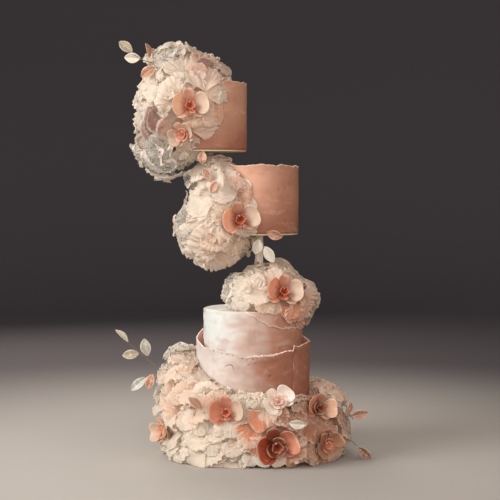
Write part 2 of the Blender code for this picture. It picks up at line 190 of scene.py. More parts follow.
def facing_matrix(location, forward, roll=0.0):
    """Turns a piece so that its +Z looks forward with its +Y up, rolled about that way, and puts it in place."""
    right = Vector((0, 0, 1)).cross(forward).normalized()
    up = forward.cross(right)
    turn = Matrix((right, up, forward)).transposed().to_4x4()
    return Matrix.Translation(location) @ turn @ Matrix.Rotation(math.radians(roll), 4, "Z")


class Form:
    """A mesh in the making. Every point carries a tint, and blade, its place across and along its own surface.
    skin is the surface that paper in it stays near."""

    def __init__(self, skin=None):
        self.bm = bmesh.new()
        self.skin = skin
        self.tint = self.bm.verts.layers.float_color.new("tint")
        self.blade = self.bm.verts.layers.float_vector.new("blade")

    def paint(self, vert, colour, blade=(0, 0, 0)):
        vert[self.tint] = (*colour, 1)
        vert[self.blade] = blade

    def grid(self, columns, rows, shape):
        """A grid put where shape(u, v) says. It gives a point and its colour; u and v run from 0 to 1."""
        made = bmesh.ops.create_grid(self.bm, x_segments=columns, y_segments=rows, size=0.5)["verts"]
        for vert in made:
            u, v = vert.co.x + 0.5, vert.co.y + 0.5
            vert.co, colour = shape(u, v)
            self.paint(vert, colour, (u, v, 0))
        return made

    def lathe(self, outline, steps):
        """An outline of (radius, height) points spun once round the z axis."""
        chain = [self.bm.verts.new((radius, 0, height)) for radius, height in outline]
        links = [self.bm.edges.new(pair) for pair in zip(chain, chain[1:])]
        bmesh.ops.spin(
            self.bm, geom=chain + links, cent=(0, 0, 0), axis=(0, 0, 1), angle=2 * math.pi, steps=steps,
            use_merge=True,
        )
        bmesh.ops.remove_doubles(self.bm, verts=self.bm.verts, dist=0.00001)
        bmesh.ops.recalc_face_normals(self.bm, faces=self.bm.faces)

    def piece(self, name, materials, slot, replaced=()):
        """The finished form as a piece of the cake."""
        for face in self.bm.faces:
            face.smooth = True
        mesh = bpy.data.meshes.new(name)
        self.bm.to_mesh(mesh)
        self.bm.free()
        obj = bpy.data.objects.new(name, mesh)
        for finish in materials:
            mesh.materials.append(finish)
        bpy.context.scene.collection.objects.link(obj)
        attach(obj, "root")
        if replaced:
            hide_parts(*replaced)
        return obj


def thicken(obj, thickness, offset=0.0, rim_material=0):
    """Gives a surface a thickness: on its outer side with offset 1, and on both sides with offset 0."""
    modifier = obj.modifiers.new("thickness", "SOLIDIFY")
    modifier.thickness = thickness
    modifier.offset = offset
    modifier.material_offset_rim = rim_material
    modifier.material_offset = 2 * rim_material
    return obj


# ---------------------------------------------------------------- finishes


class Finish:
    """A material whose colour starts from the tint that the points of a piece carry."""

    def __init__(self, name, roughness):
        self.material = bpy.data.materials.new(name)
        self.material.use_nodes = True
        self.nodes = self.material.node_tree.nodes
        self.links = self.material.node_tree.links
        self.shader = self.nodes["Principled BSDF"]
        self.shader.inputs["Roughness"].default_value = roughness
        self.place = self.nodes.new("ShaderNodeTexCoord").outputs["Object"]

    def set(self, sockets):
        for name, value in sockets.items():
            self.shader.inputs[name].default_value = value
        return self

    def attribute(self, name, output="Color"):
        node = self.nodes.new("ShaderNodeAttribute")
        node.attribute_name = name
        return node.outputs[output]

    def stretched(self, source, scale):
        node = self.nodes.new("ShaderNodeMapping")
        node.inputs["Scale"].default_value = scale
        self.links.new(source, node.inputs["Vector"])
        return node.outputs["Vector"]

    def noise(self, source, scale, detail=3.0, roughness=0.55, distortion=0.0):
        node = self.nodes.new("ShaderNodeTexNoise")
        node.inputs["Scale"].default_value = scale
        node.inputs["Detail"].default_value = detail
        node.inputs["Roughness"].default_value = roughness
        node.inputs["Distortion"].default_value = distortion
        self.links.new(source, node.inputs["Vector"])
        return node.outputs["Fac"]

    def cells(self, source, scale, feature="DISTANCE_TO_EDGE"):
        node = self.nodes.new("ShaderNodeTexVoronoi")
        node.feature = feature
        node.inputs["Scale"].default_value = scale
        self.links.new(source, node.inputs["Vector"])
        return node.outputs["Distance"]

    def ramp(self, source, low, high, low_to=0.0, high_to=1.0):
        node = self.nodes.new("ShaderNodeMapRange")
        node.inputs["From Min"].default_value = low
        node.inputs["From Max"].default_value = high
        node.inputs["To Min"].default_value = low_to
        node.inputs["To Max"].default_value = high_to
        self.links.new(source, node.inputs["Value"])
        return node.outputs["Result"]

    def blend(self, base, colour, share, kind="MIX"):
        """base with a fixed colour laid over it by share."""
        node = self.nodes.new("ShaderNodeMix")
        node.data_type = "RGBA"
        node.blend_type = kind
        self.links.new(share, node.inputs["Factor"])
        self.links.new(base, node.inputs["A"])
        node.inputs["B"].default_value = (*colour, 1)
        return node.outputs["Result"]

    def bump(self, height, strength, distance, under=None):
        node = self.nodes.new("ShaderNodeBump")
        node.inputs["Strength"].default_value = strength
        node.inputs["Distance"].default_value = distance
        self.links.new(height, node.inputs["Height"])
        if under:
            self.links.new(under, node.inputs["Normal"])
        return node.outputs["Normal"]

    def done(self, colour, normal=None, roughness=None, glow=0.0, glow_colour=None):
        """Joins it up. glow is the share of light that passes through, in the colour and glow_colour."""
        self.links.new(colour, self.shader.inputs["Base Color"])
        if normal:
            self.links.new(normal, self.shader.inputs["Normal"])
        if roughness:
            self.links.new(roughness, self.shader.inputs["Roughness"])
        if glow:
            through = self.nodes.new("ShaderNodeBsdfTranslucent")
            self.links.new(glow_colour or colour, through.inputs["Color"])
            if normal:
                self.links.new(normal, through.inputs["Normal"])
            both = self.nodes.new("ShaderNodeMixShader")
            both.inputs["Fac"].default_value = glow
            self.links.new(self.shader.outputs["BSDF"], both.inputs[1])
            self.links.new(through.outputs["BSDF"], both.inputs[2])
            self.links.new(both.outputs["Shader"], self.nodes["Material Output"].inputs["Surface"])
        return self.material


def icing_finish(name, wash):
    """Hand-smoothed icing: soft horizontal smears with a painted highlight along them, a plaster grain and small
    pits, under a wash of colour.
    """
    f = Finish(name, 0.62).set({"Specular IOR Level": 0.35, "Subsurface Weight": 0.08})
    f.shader.inputs["Subsurface Radius"].default_value = (0.006, 0.003, 0.002)
    smears = f.noise(f.stretched(f.place, (1, 1, 2.6)), 20, 5, 0.62, 1.2)
    clouds = f.noise(f.place, 34, 4, 0.6)
    grain = f.noise(f.place, 420, 3, 0.6)
    colour = f.attribute("tint")
    colour = f.blend(colour, tone(186, 150, 138), f.ramp(clouds, 0.50, 0.80, 0, 0.42), "MULTIPLY")
    # A painted highlight: paler streaks along the smears.
    colour = f.blend(colour, tone(255, 247, 236), f.ramp(smears, 0.56, 0.80, 0, 0.20))
    if wash:
        colour = f.blend(colour, tone(255, 186, 172), f.ramp(grain, 0.3, 0.7, wash, 1.15 * wash))
    normal = f.bump(grain, 0.25, 0.0006, f.bump(smears, 0.42, 0.0022))
    return f.done(colour, normal, f.ramp(clouds, 0.3, 0.7, 0.52, 0.72))


def torn_finish():
    """The pale crumbly face where a sheet of icing was torn."""
    f = Finish("torn_edge", 0.8).set({"Specular IOR Level": 0.2})
    crumbs = f.noise(f.place, 620, 4, 0.65)
    colour = f.blend(f.attribute("tint"), TORN_EDGE, f.ramp(crumbs, 0.3, 0.6, 0.30, 0.72))
    return f.done(colour, f.bump(crumbs, 0.6, 0.0008))


def crack_finish():
    """Painted shade: the dark inside of a crack in the icing."""
    f = Finish("icing_crack_shade", 0.9).set({"Specular IOR Level": 0.1})
    crumbs = f.noise(f.place, 700, 3, 0.6)
    return f.done(f.blend(f.attribute("tint"), tone(70, 44, 36), f.ramp(crumbs, 0.3, 0.6, 0.4, 0.9)))


def paper_finish(name, glow, crush):
    """Rice paper: matt, crushed into fine creases, and lit through from behind. Painted shade darkens the troughs of
    its pleats and a painted highlight lightens its crumples.
    """
    f = Finish(name, 0.78).set({"Specular IOR Level": 0.25, "Sheen Weight": 0.12, "Sheen Roughness": 0.6})
    crumple = f.noise(f.place, 190, 4, 0.65, 0.6)
    clouds = f.noise(f.place, 42, 3, 0.6)
    pleats = f.noise(f.stretched(f.attribute("blade", "Vector"), (46, 1.6, 1)), 1.0, 3, 0.6, 0.3)
    colour = f.attribute("tint")
    colour = f.blend(colour, tone(250, 230, 214), f.ramp(clouds, 0.50, 0.75, 0, 0.18), "MULTIPLY")
    # Painted shade in the troughs of the pleats.
    colour = f.blend(colour, tone(244, 222, 206), f.ramp(pleats, 0.40, 0.58, 0.34, 0), "MULTIPLY")
    # A painted highlight on the crumples.
    colour = f.blend(colour, tone(255, 252, 246), f.ramp(crumple, 0.50, 0.80, 0, 0.4))
    normal = f.bump(crumple, crush, 0.0016, f.bump(pleats, 0.35, 0.0040))
    through = f.nodes.new("ShaderNodeMix")
    through.data_type = "RGBA"
    through.inputs["Factor"].default_value = 0.80
    f.links.new(colour, through.inputs["A"])
    through.inputs["B"].default_value = (*tone(255, 250, 242), 1)
    return f.done(colour, normal, None, glow, through.outputs["Result"])


def petal_finish():
    """An orchid's waxy petal, with fine veins that run from its claw to its rim."""
    f = Finish("orchid_petal", 0.5).set({"Specular IOR Level": 0.4, "Coat Weight": 0.06, "Coat Roughness": 0.4})
    blade = f.attribute("blade", "Vector")
    veins = f.noise(f.stretched(blade, (34, 2.2, 1)), 1.0, 3, 0.6, 0.3)
    clouds = f.noise(f.place, 120, 3, 0.6)
    colour = f.attribute("tint")
    colour = f.blend(colour, tone(224, 120, 88), f.ramp(veins, 0.52, 0.75, 0, 0.26), "MULTIPLY")
    colour = f.blend(colour, tone(255, 240, 222), f.ramp(clouds, 0.55, 0.8, 0, 0.22))
    normal = f.bump(veins, 0.35, 0.0008, f.bump(clouds, 0.2, 0.0008))
    return f.done(colour, normal, None, 0.42)


def lip_finish():
    """The waxy lip and column in the middle of an orchid, speckled deeper."""
    f = Finish("orchid_lip", 0.38).set({"Specular IOR Level": 0.5, "Coat Weight": 0.15, "Coat Roughness": 0.3})
    speckles = f.noise(f.place, 520, 3, 0.7)
    folds = f.noise(f.place, 240, 3, 0.6)
    colour = f.blend(f.attribute("tint"), tone(158, 66, 44), f.ramp(speckles, 0.54, 0.70, 0, 0.5))
    return f.done(colour, f.bump(folds, 0.4, 0.0008), None, 0.08)


def leaf_finish():
    """A pearly leaf with a raised midrib, side veins and a paler edge."""
    f = Finish("pearl_leaf", 0.42).set({"Metallic": 0.12, "Specular IOR Level": 0.5, "Sheen Weight": 0.15})
    blade = f.attribute("blade", "Vector")
    parts = f.nodes.new("ShaderNodeSeparateXYZ")
    f.links.new(blade, parts.inputs["Vector"])
    wave = f.nodes.new("ShaderNodeTexWave")
    wave.bands_direction = "DIAGONAL"
    wave.inputs["Scale"].default_value = 3.2
    wave.inputs["Distortion"].default_value = 1.4
    f.links.new(blade, wave.inputs["Vector"])
    clouds = f.noise(f.place, 160, 3, 0.6)
    colour = f.attribute("tint")
    colour = f.blend(colour, tone(170, 120, 86), f.ramp(wave.outputs["Fac"], 0.75, 1.0, 0, 0.22), "MULTIPLY")
    colour = f.blend(colour, tone(255, 246, 230), f.ramp(clouds, 0.5, 0.8, 0, 0.4))
    normal = f.bump(wave.outputs["Fac"], 0.25, 0.0006, f.bump(clouds, 0.15, 0.0006))
    return f.done(colour, normal, f.ramp(clouds, 0.3, 0.7, 0.34, 0.5))


def card_finish():
    """The edge and face of the pressed boards under the floating tiers."""
    f = Finish("pressed_board", 0.7)
    fibres = f.noise(f.stretched(f.place, (1, 1, 8)), 90, 4, 0.6)
    colour = f.blend(f.attribute("tint"), tone(120, 110, 84), f.ramp(fibres, 0.45, 0.75, 0, 0.5))
    return f.done(colour, f.bump(fibres, 0.4, 0.0006))


def wire_finish():
    """Floral wire wound with paper tape."""
    f = Finish("taped_wire", 0.6)
    winding = f.noise(f.stretched(f.place, (1, 1, 3)), 420, 3, 0.6)
    colour = f.blend(f.attribute("tint"), tone(92, 70, 48), f.ramp(winding, 0.45, 0.7, 0, 0.6))
    return f.done(colour, f.bump(winding, 0.5, 0.0005))


ICING = icing_finish("smeared_icing", 0.0)
INNER_ICING = icing_finish("inner_icing", 0.75)
TORN = torn_finish()
CRACK_SHADE = crack_finish()
PAPER = paper_finish("rice_paper", 0.64, 0.16)
LACE = paper_finish("rice_paper_net", 0.42, 0.3)
WRAP = paper_finish("paper_wrap", 0.15, 0.8)
PETAL = petal_finish()
LIP = lip_finish()
LEAF = leaf_finish()
CARD = card_finish()
WIRE = wire_finish()


# ---------------------------------------------------------------- icing


def tier_of(node):
    """The tier's axis in x, its radius, and its lowest and highest heights."""
    low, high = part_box(node)
    return (low.x + high.x) / 2, (high.x - low.x) / 2, low.z, high.z


def icing_colour(point, axis_x, radius, pale, deep, middle=0.0):
    """Icing is pale on its left and deepens towards its right and its back, partly as a blush in the icing and partly
    as painted shade on the side away from the window lamp. middle moves the change along.
    """
    smear = Vector((point.x, point.y, 1.8 * point.z))
    across = (point.x - axis_x) / radius - middle
    across += 0.34 * noise.noise(20 * smear) + 0.16 * noise.noise(55 * smear)
    return mix(pale, deep, smooth(-0.60, 0.70, across))


def tier_outline(radius, low, high, rows):
    """A tier's section from the middle of its top to the middle of its foot, with a rounded upper edge."""
    inner = [(radius * share, high) for share in (0, 0.2, 0.4, 0.6, 0.75, 0.88)]
    turns = [math.radians(90 - 15 * k) for k in range(7)]
    corner = [
        (radius - TIER_EDGE * (1 - math.cos(a)), high - TIER_EDGE * (1 - math.sin(a))) for a in turns
    ]
    drop = high - TIER_EDGE - low
    side = [(radius, high - TIER_EDGE - drop * k / rows) for k in range(1, rows + 1)]
    return inner + corner + side + [(radius * share, low) for share in (0.7, 0.35, 0)]


def make_tier(node, pale, deep, relief, rows, slot, middle=0.0):
    """A tier of icing, smoothed by hand into soft bands, with grey and pink patches where it is thin. Its deeper
    right side is partly painted shade.
    """
    axis_x, radius, low, high = tier_of(node)
    form = Form()
    form.lathe(tier_outline(radius, low, high, rows), 144)
    for vert in form.bm.verts:
        flat = Vector((vert.co.x, vert.co.y, 0))
        azimuth = math.degrees(math.atan2(vert.co.y, vert.co.x))
        on_side = smooth(0.7, 0.98, flat.length / radius)
        bands = round_noise(azimuth, 1.6, 3, 46 * vert.co.z) + 0.5 * round_noise(azimuth, 4, 9, 90 * vert.co.z)
        way = flat.normalized() if flat.length > 0.001 else Vector((0, 0, 0))
        inside = vert.co.z > low + 0.002
        vert.co += way * (relief * bands * on_side)
        if inside:
            vert.co.z += 0.4 * relief * (1 - on_side) * noise.noise(40 * vert.co)
        vert.co.x += axis_x
        body = icing_colour(vert.co, axis_x, radius, pale, deep, middle)
        patch = noise.noise(Vector((24 * vert.co.x, 24 * vert.co.y, 46 * vert.co.z)) + Vector((3, 7, 1)))
        form.paint(vert, mix(body, GREY_PINK, 0.6 * on_side * smooth(0.08, 0.5, patch)))
    return form.piece("icing_" + node, [ICING], slot, [node])


def lower_rim(azimuth):
    return between_keys(LOWER_RIM, wound(azimuth, OVERLAP_AZIMUTH)) + SHEET_TEAR * tear(azimuth, 1)


def upper_hem(azimuth):
    return between_keys(UPPER_HEM, azimuth) + 0.9 * SHEET_TEAR * tear(azimuth, 2)


def fine_tear(azimuth, seed):
    """The small ragged teeth of a torn edge."""
    return FINE_TEAR * (1.3 * round_noise(azimuth, 17, seed) + round_noise(azimuth, 42, seed + 5))


def make_sheet(node, inner, axis_x, bottom, top, turn, lift, colour, slot, rows=30, steps=300):
    """A sheet wrapped round a tier from turn[0] to turn[1]. bottom and top give its edges' heights at an
    azimuth, lift how far a point stands off the tier, and colour its tint."""
    start, end = turn
    form = Form()

    def shape(u, v):
        azimuth = start + (end - start) * u
        low, high = bottom(azimuth), top(azimuth)
        height = low + (high - low) * (1 - (1 - v) ** 1.6)
        radius = inner + lift(azimuth, height, high - height)
        point = Vector((axis_x, 0, height)) + radius * direction(azimuth)
        return point, colour(azimuth, point, high - height)

    form.grid(steps, rows, shape)
    if end - start == 360:
        bmesh.ops.remove_doubles(form.bm, verts=form.bm.verts, dist=0.00001)
    bmesh.ops.recalc_face_normals(form.bm, faces=form.bm.faces)
    face = next(iter(form.bm.faces))
    if (face.calc_center_median() - Vector((axis_x, 0, 0))).to_2d().dot(face.normal.to_2d()) < 0:
        bmesh.ops.reverse_faces(form.bm, faces=form.bm.faces)
    return thicken(form.piece("wrapped_" + node, [ICING, TORN, INNER_ICING], slot, [node]), SHEET_THICKNESS, 1, 1)


def dents(azimuth, height, marks):
    """How deep hand-pressed dents go at a place: marks are (azimuth, height, reach, depth)."""
    deep = 0
    for at, level, reach, depth in marks:
        across = math.radians((azimuth - at + 180) % 360 - 180) * 0.09
        deep += depth * math.exp(-((across / reach) ** 2) - ((height - level) / reach) ** 2)
    return deep


# Marks pressed into the sheets: azimuth, height, reach and depth.
LOWER_DENTS = (
    (-94, 0.196, 0.0022, 0.0014), (-88, 0.1985, 0.0014, 0.0010), (-81.5, 0.1905, 0.0014, 0.0010),
    (-73, 0.1745, 0.0021, 0.0022), (-55, 0.188, 0.0016, 0.0012), (-66, 0.165, 0.0050, 0.0007),
    (-20, 0.190, 0.0030, 0.0011), (70, 0.150, 0.0035, 0.0012), (150, 0.180, 0.0030, 0.0011),
)
# Small holes just under the torn rim: azimuth, depth below the rim and reach.
RIM_HOLES = (
    (-132, 0.0036, 0.0022), (-127, 0.0030, 0.0014), (-121.5, 0.0034, 0.0021), (-115.5, 0.0032, 0.0019),
    (-110, 0.0040, 0.0014), (-99.5, 0.0034, 0.0019), (-96, 0.0056, 0.0016), (-93, 0.0034, 0.0020),
    (-90, 0.0058, 0.0020), (-86, 0.0034, 0.0014), (120, 0.0040, 0.0018), (128, 0.0050, 0.0019),
    (175, 0.0040, 0.0018),
)
MID_DENTS = (
    (-62, 0.540, 0.0026, 0.0018), (-50, 0.543, 0.0022, 0.0016), (-50, 0.474, 0.0030, 0.0018),
    (-30, 0.505, 0.0022, 0.0012), (40, 0.53, 0.0040, 0.0014), (95, 0.50, 0.0036, 0.0014),
)
TOP_DENTS = ((-35, 0.70, 0.0022, 0.0008), (30, 0.66, 0.0034, 0.0010), (110, 0.69, 0.0032, 0.0010))


def wall_relief(azimuth, height, seed):
    """Uneven plaster: broad waves and trowelled bands."""
    broad = round_noise(azimuth, 2.2, seed, 14 * height)
    bands = round_noise(azimuth, 3.5, seed + 7, 60 * height)
    return 0.0009 * broad + 0.0004 * bands


def rim_holes(azimuth, down):
    """How deep the small holes under the lower sheet's rim go at a place."""
    deep = 0
    for at, under, reach in RIM_HOLES:
        across = math.radians((azimuth - at + 180) % 360 - 180) * 0.115
        if abs(across) < 0.01:
            deep += 0.0020 * math.exp(-((across / reach) ** 2) - ((down - under) / reach) ** 2)
    return deep


def make_lower_sheet():
    """The lower sheet: its end laps under its start, and the lap shows only at the torn rim."""
    inner = tier_of("tier_lower")[1] + 0.0003
    start = OVERLAP_AZIMUTH
    sunk = SHEET_THICKNESS + 0.0003

    def top(azimuth):
        if azimuth > start + 358:
            return lower_rim(start + 359.9) + fine_tear(azimuth, 11)
        return lower_rim(azimuth) + fine_tear(azimuth, 11)

    def lift(azimuth, height, down):
        step = -sunk + 2 * sunk * (1 - smooth(0.007, 0.014, down))
        over = step * (1 - smooth(0, 9, azimuth - start))
        under = sunk * smooth(start + 357, start + 364, azimuth)
        waves = wall_relief(azimuth, height, 4) - dents(azimuth, height, LOWER_DENTS) - rim_holes(azimuth, down)
        curl = 0.0016 * (1 - smooth(0, 0.006, down)) * round_noise(azimuth, 7, 21)
        lean = 0.004 * smooth(150, 215, wound(azimuth, 0)) * (1 - smooth(0, 0.03, down))
        return over - under + waves + curl + max(0, lean - 0.002)

    def colour(azimuth, point, down):
        body = icing_colour(point, 0, 0.115, mix(PINK_ICING, WHITE_ICING, 0.30), SHADED_BLUSH, -0.24)
        # Dents and the holes under the rim are darkened with painted shade.
        pressed = dents(azimuth, point.z, LOWER_DENTS) + 1.3 * rim_holes(azimuth, down)
        fringe = smooth(-101, -93, wound(azimuth, -180))
        edge = (0.35 + 0.65 * fringe) * (1 - smooth(0, 0.0018, down))
        return mix(mix(body, PAINTED_PIT_SHADE, 0.9 * smooth(0.0005, 0.0014, pressed)), TORN_EDGE, 0.8 * edge)

    make_sheet(
        "sheet_lower", inner, 0, lambda azimuth: 0.0, top, (start, start + 360 + UNDERLAP), lift, colour,
        "icing_blush", 46, 520,
    )


def make_rim_crumbs():
    """Pale crumbs along the torn rim of the lower sheet."""
    choose = random.Random(5)
    form = Form()
    radius = tier_of("tier_lower")[1] + 0.5 * SHEET_THICKNESS
    azimuth = -89.0
    while azimuth < -46:
        height = lower_rim(azimuth + 0.0) + choose.uniform(-0.0006, 0.0006)
        size = choose.uniform(0.0007, 0.0014)
        where = Matrix.Translation(radius * direction(azimuth) + Vector((0, 0, height)))
        where = where @ Matrix.Rotation(math.radians(azimuth), 4, "Z") @ Matrix.Diagonal((1, 1.5, 0.8, 1))
        made = bmesh.ops.create_icosphere(form.bm, subdivisions=2, radius=size, matrix=where)["verts"]
        for vert in made:
            vert.co += 0.35 * size * noise.noise_vector(900 * vert.co)
            form.paint(vert, TORN_EDGE)
        azimuth += choose.uniform(0.9, 2.6)
    form.piece("rim_crumbs", [TORN], "icing_white")


def on_lower_sheet(azimuth, height):
    return (tier_of("tier_lower")[1] + SHEET_THICKNESS + 0.0004) * direction(azimuth) + Vector((0, 0, height))


def make_cracks():
    """A thin curved crack in the front of the lower sheet, and a shorter one behind, each a dark tube laid just on
    the sheet whose dark is painted shade.
    """
    form = Form()
    arcs = (
        ((-119.2, 0.190), (-117.6, 0.193), (-114.6, 0.195), (-112.5, 0.1957), (-110.4, 0.194), (-109.8, 0.189),
         (-109.2, 0.184)),
        ((64, 0.190), (67, 0.194), (71, 0.196), (74, 0.194)),
    )
    for arc in arcs:
        points = [on_lower_sheet(*place) for place in arc]
        tube(form, points, [0.00025 + 0.00045 * math.sin(math.pi * k / (len(arc) - 1)) for k in range(len(arc))], PAINTED_PIT_SHADE)
    form.piece("sheet_cracks", [CRACK_SHADE], "icing_blush")


def make_upper_sheet():
    inner = tier_of("tier_upper")[1] + 0.0003
    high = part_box("tier_upper")[1].z

    def bottom(azimuth):
        return upper_hem(azimuth) + 1.6 * fine_tear(azimuth, 31)

    def lift(azimuth, height, down):
        edge = height - bottom(azimuth)
        end = azimuth - UPPER_SHEET_FROM
        curl = 0.0022 * (1 - smooth(0, 0.006, edge)) * (0.6 + round_noise(azimuth, 6, 33))
        sink = SHEET_THICKNESS * (1 - smooth(0, 14, end))
        return max(0, curl) - sink + wall_relief(azimuth, height, 14) - 0.002 * (1 - smooth(0, 0.004, down))

    def colour(azimuth, point, down):
        edge = 1 - smooth(0, 0.0016, point.z - bottom(azimuth))
        body = icing_colour(point, 0, 0.103, PINK_ICING, mix(SHADED_BLUSH, BLUSH_ICING, 0.35), -0.05)
        return mix(body, TORN_EDGE, 0.7 * edge)

    make_sheet(
        "sheet_upper", inner, 0, bottom, lambda azimuth: high, (UPPER_SHEET_FROM, UPPER_SHEET_TO), lift,
        colour, "icing_blush", 20, 260,
    )


def make_floating_sheet(prefix, marks, pale, deep):
    """The sheet round a floating tier, with its torn, frilled rim. It deepens towards its foot."""
    axis_x, radius, low, high = tier_of("tier_" + prefix)
    rim = high + 0.006

    def top(azimuth):
        return rim + SHEET_TEAR * tear(azimuth, axis_x) + 1.3 * fine_tear(azimuth, axis_x + 2)

    def lift(azimuth, height, down):
        frill = 0.0020 * (1 - smooth(0, 0.008, down)) * round_noise(azimuth, 11, 40 + axis_x)
        return wall_relief(azimuth, height, 24 + axis_x) - dents(azimuth, height, marks) + frill

    def colour(azimuth, point, down):
        body = icing_colour(point, axis_x, radius, pale, deep)
        # Darker towards the foot of the sheet.
        body = mix(body, DARKER_FOOT_TONE, 0.75 * smooth(0.35, 1.0, down / (rim - low)))
        shade = 0.75 * smooth(0.0006, 0.0014, dents(azimuth, point.z, marks))
        return mix(mix(body, PAINTED_PIT_SHADE, shade), TORN_EDGE, 0.6 * (1 - smooth(0, 0.0018, down)))

    make_sheet(
        "sheet_" + prefix, radius + 0.0003, axis_x, lambda azimuth: low, top, (0, 360), lift, colour,
        "icing_blush", 36, 280,
    )


def make_board(node):
    """A round pressed board with softened edges."""
    axis_x, radius, low, high = tier_of(node)
    soft = 0.0006
    form = Form()
    form.lathe(
        [
            (0, high), (0.5 * radius, high), (radius - soft, high), (radius, high - soft),
            (radius, low + soft), (radius - soft, low), (0.5 * radius, low), (0, low),
        ],
        120,
    )
    for vert in form.bm.verts:
        vert.co.x += axis_x
        form.paint(vert, tone(206, 192, 158))
    form.piece("pressed_" + node, [CARD], "board", [node])


def make_post(node, flare_low, flare_high):
    """A post wrapped in crumpled paper that spreads where it meets the ruffles."""
    axis_x, radius, low, high = tier_of(node)
    rows = 34
    heights = [low + (high - low) * k / rows for k in range(rows + 1)]
    form = Form()
    form.lathe([(0, low)] + [(radius, z) for z in heights] + [(0, high)], 56)
    for vert in form.bm.verts:
        flat = Vector((vert.co.x, vert.co.y, 0))
        if flat.length > 0.001:
            share = (vert.co.z - low) / (high - low)
            azimuth = math.degrees(math.atan2(vert.co.y, vert.co.x))
            pleats = 0.0016 * math.sin(math.radians(7 * azimuth) + 5 * share) * (0.6 + noise.noise(60 * vert.co))
            crush = 0.0014 * noise.noise(260 * vert.co)
            spread = flare_low * (1 - smooth(0, 0.5, share)) + flare_high * smooth(0.7, 1, share)
            vert.co += flat.normalized() * (spread + pleats + crush - 0.001)
        vert.co.x += axis_x
        form.paint(vert, mix(PEACH, CREAM, 0.6 + noise.noise(70 * vert.co)))
    form.piece("wrapped_" + node, [WRAP], "paper_wrap", [node])


def make_icing():
    make_tier("tier_lower", WHITE_ICING, PINK_ICING, 0.0004, 24, "icing_white")
    make_tier("tier_upper", WHITE_ICING, UNDER_HEM_SHADE, 0.0012, 44, "icing_white", -0.18)
    make_tier("tier_mid", BLUSH_ICING, BLUSH_ICING, 0.0003, 16, "icing_blush")
    make_tier("tier_top", BLUSH_ICING, BLUSH_ICING, 0.0003, 16, "icing_blush")
    make_lower_sheet()
    make_rim_crumbs()
    make_cracks()
    make_upper_sheet()
    make_floating_sheet("mid", MID_DENTS, BLUSH_ICING, mix(BLUSH_ICING, SHADED_BLUSH, 0.6))
    make_floating_sheet("top", TOP_DENTS, BLUSH_ICING, mix(BLUSH_ICING, SHADED_BLUSH, 0.3))
    make_board("board_mid")
    make_board("board_top")
    make_post("post_mid", 0.010, 0.0005)
    make_post("post_top", 0.0, 0.0005)


# ---------------------------------------------------------------- orchids

# The way each orchid faces as azimuth and elevation, its width, its roll about that way, how far it closes, how
# much further its two side petals curl in, and the tints of its left and right halves and of its heart.
# The halves' tints differ partly in the petals' own colour and partly as painted shade on the half that turns from
# the window lamp.
ORCHIDS = {
    "orchid_top_upper": ((-80, 2), 0.072, 4, 0.34, 0.30, PETAL_PEACH, PETAL_CREAM, HEART_CORAL),
    "orchid_top_lower": ((-112, -8), 0.056, 24, 0.60, 0.10, PETAL_CREAM, PETAL_CREAM, LIP_PINK),
    "orchid_top_back": ((104, 8), 0.072, -8, 0.34, 0.20, PETAL_PEACH, PETAL_CREAM, HEART_CORAL),
    "orchid_mid": ((-78, -2), 0.074, 12, 0.34, 0.34, PETAL_APRICOT, PETAL_CREAM, LIP_CORAL),
    "orchid_mid_back": ((105, -4), 0.070, -14, 0.34, 0.20, PETAL_PEACH, PETAL_CREAM, HEART_CORAL),
    "orchid_cap": ((-76, 14), 0.072, -6, 0.40, 0.20, PETAL_CORAL, PETAL_CREAM, LIP_CORAL),
    "orchid_foot_left": ((-94, 6), 0.068, 6, 0.34, 0.14, PETAL_DEEP, PETAL_CREAM, HEART_CORAL),
    "orchid_foot_right": ((-66, 10), 0.062, -14, 0.60, 0.16, PETAL_CORAL, PETAL_PEACH, HEART_DEEP),
    "orchid_foot_centre": ((-84, -2), 0.084, 18, 0.50, 0.0, PETAL_IN_SHADE, PETAL_DEEP, HEART_DEEP),
    "orchid_foot_pale": ((-86, 22), 0.064, 40, 0.50, 0.0, CREAM, CREAM, PEACH),
    "orchid_foot_low": ((-62, 0), 0.060, 30, 0.60, 0.10, BEIGE, BEIGE, PETAL_DEEP),
    "orchid_foot_side": ((-148, 0), 0.062, 20, 0.60, 0.0, PETAL_CREAM, PETAL_PEACH, PETAL_CORAL),
    "orchid_foot_back": ((72, 8), 0.074, -10, 0.34, 0.14, PETAL_PEACH, PETAL_CREAM, HEART_CORAL),
    "orchid_foot_back_left": ((118, 10), 0.070, 12, 0.40, 0.14, PETAL_CREAM, PETAL_PEACH, HEART_CORAL),
}
# Each petal: where it points, its width and length as shares of the flower's radius, and whether it lies behind.
PETALS = ((90, 0.66, 0.98, True), (216, 0.62, 0.92, True), (324, 0.62, 0.92, True), (172, 1.22, 1.0, False),
          (8, 1.22, 1.0, False))
# Shares of the flower's radius that the frame's flower has at its upper petal and in its notches.
UPPER_SHARE = 0.98
NOTCH_SHARE = 0.20


def flower_seat(node, forward, width, roll, close):
    """Where the flower's middle sits, worked out from the frame's flower."""
    turn = facing_matrix((0, 0, 0), forward, roll)
    back = turn.inverted()
    points = [back @ v.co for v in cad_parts[node].data.vertices]
    side = (min(p.x for p in points) + max(p.x for p in points)) / 2
    up = max(p.y for p in points) - UPPER_SHARE * width / 2
    deep = min(p.z for p in points) - close * NOTCH_SHARE**2 * width / 2
    return turn @ Vector((side, up, deep))


def petal_half(along, widest=0.58, claw=0.22):
    """Half the width of a petal along its length, as a share of its greatest."""
    if along < widest:
        return claw + (1 - claw) * math.sin(math.pi / 2 * along / widest) ** 1.3
    return math.sqrt(max(0, 1 - ((along - widest) / (1 - widest)) ** 2))


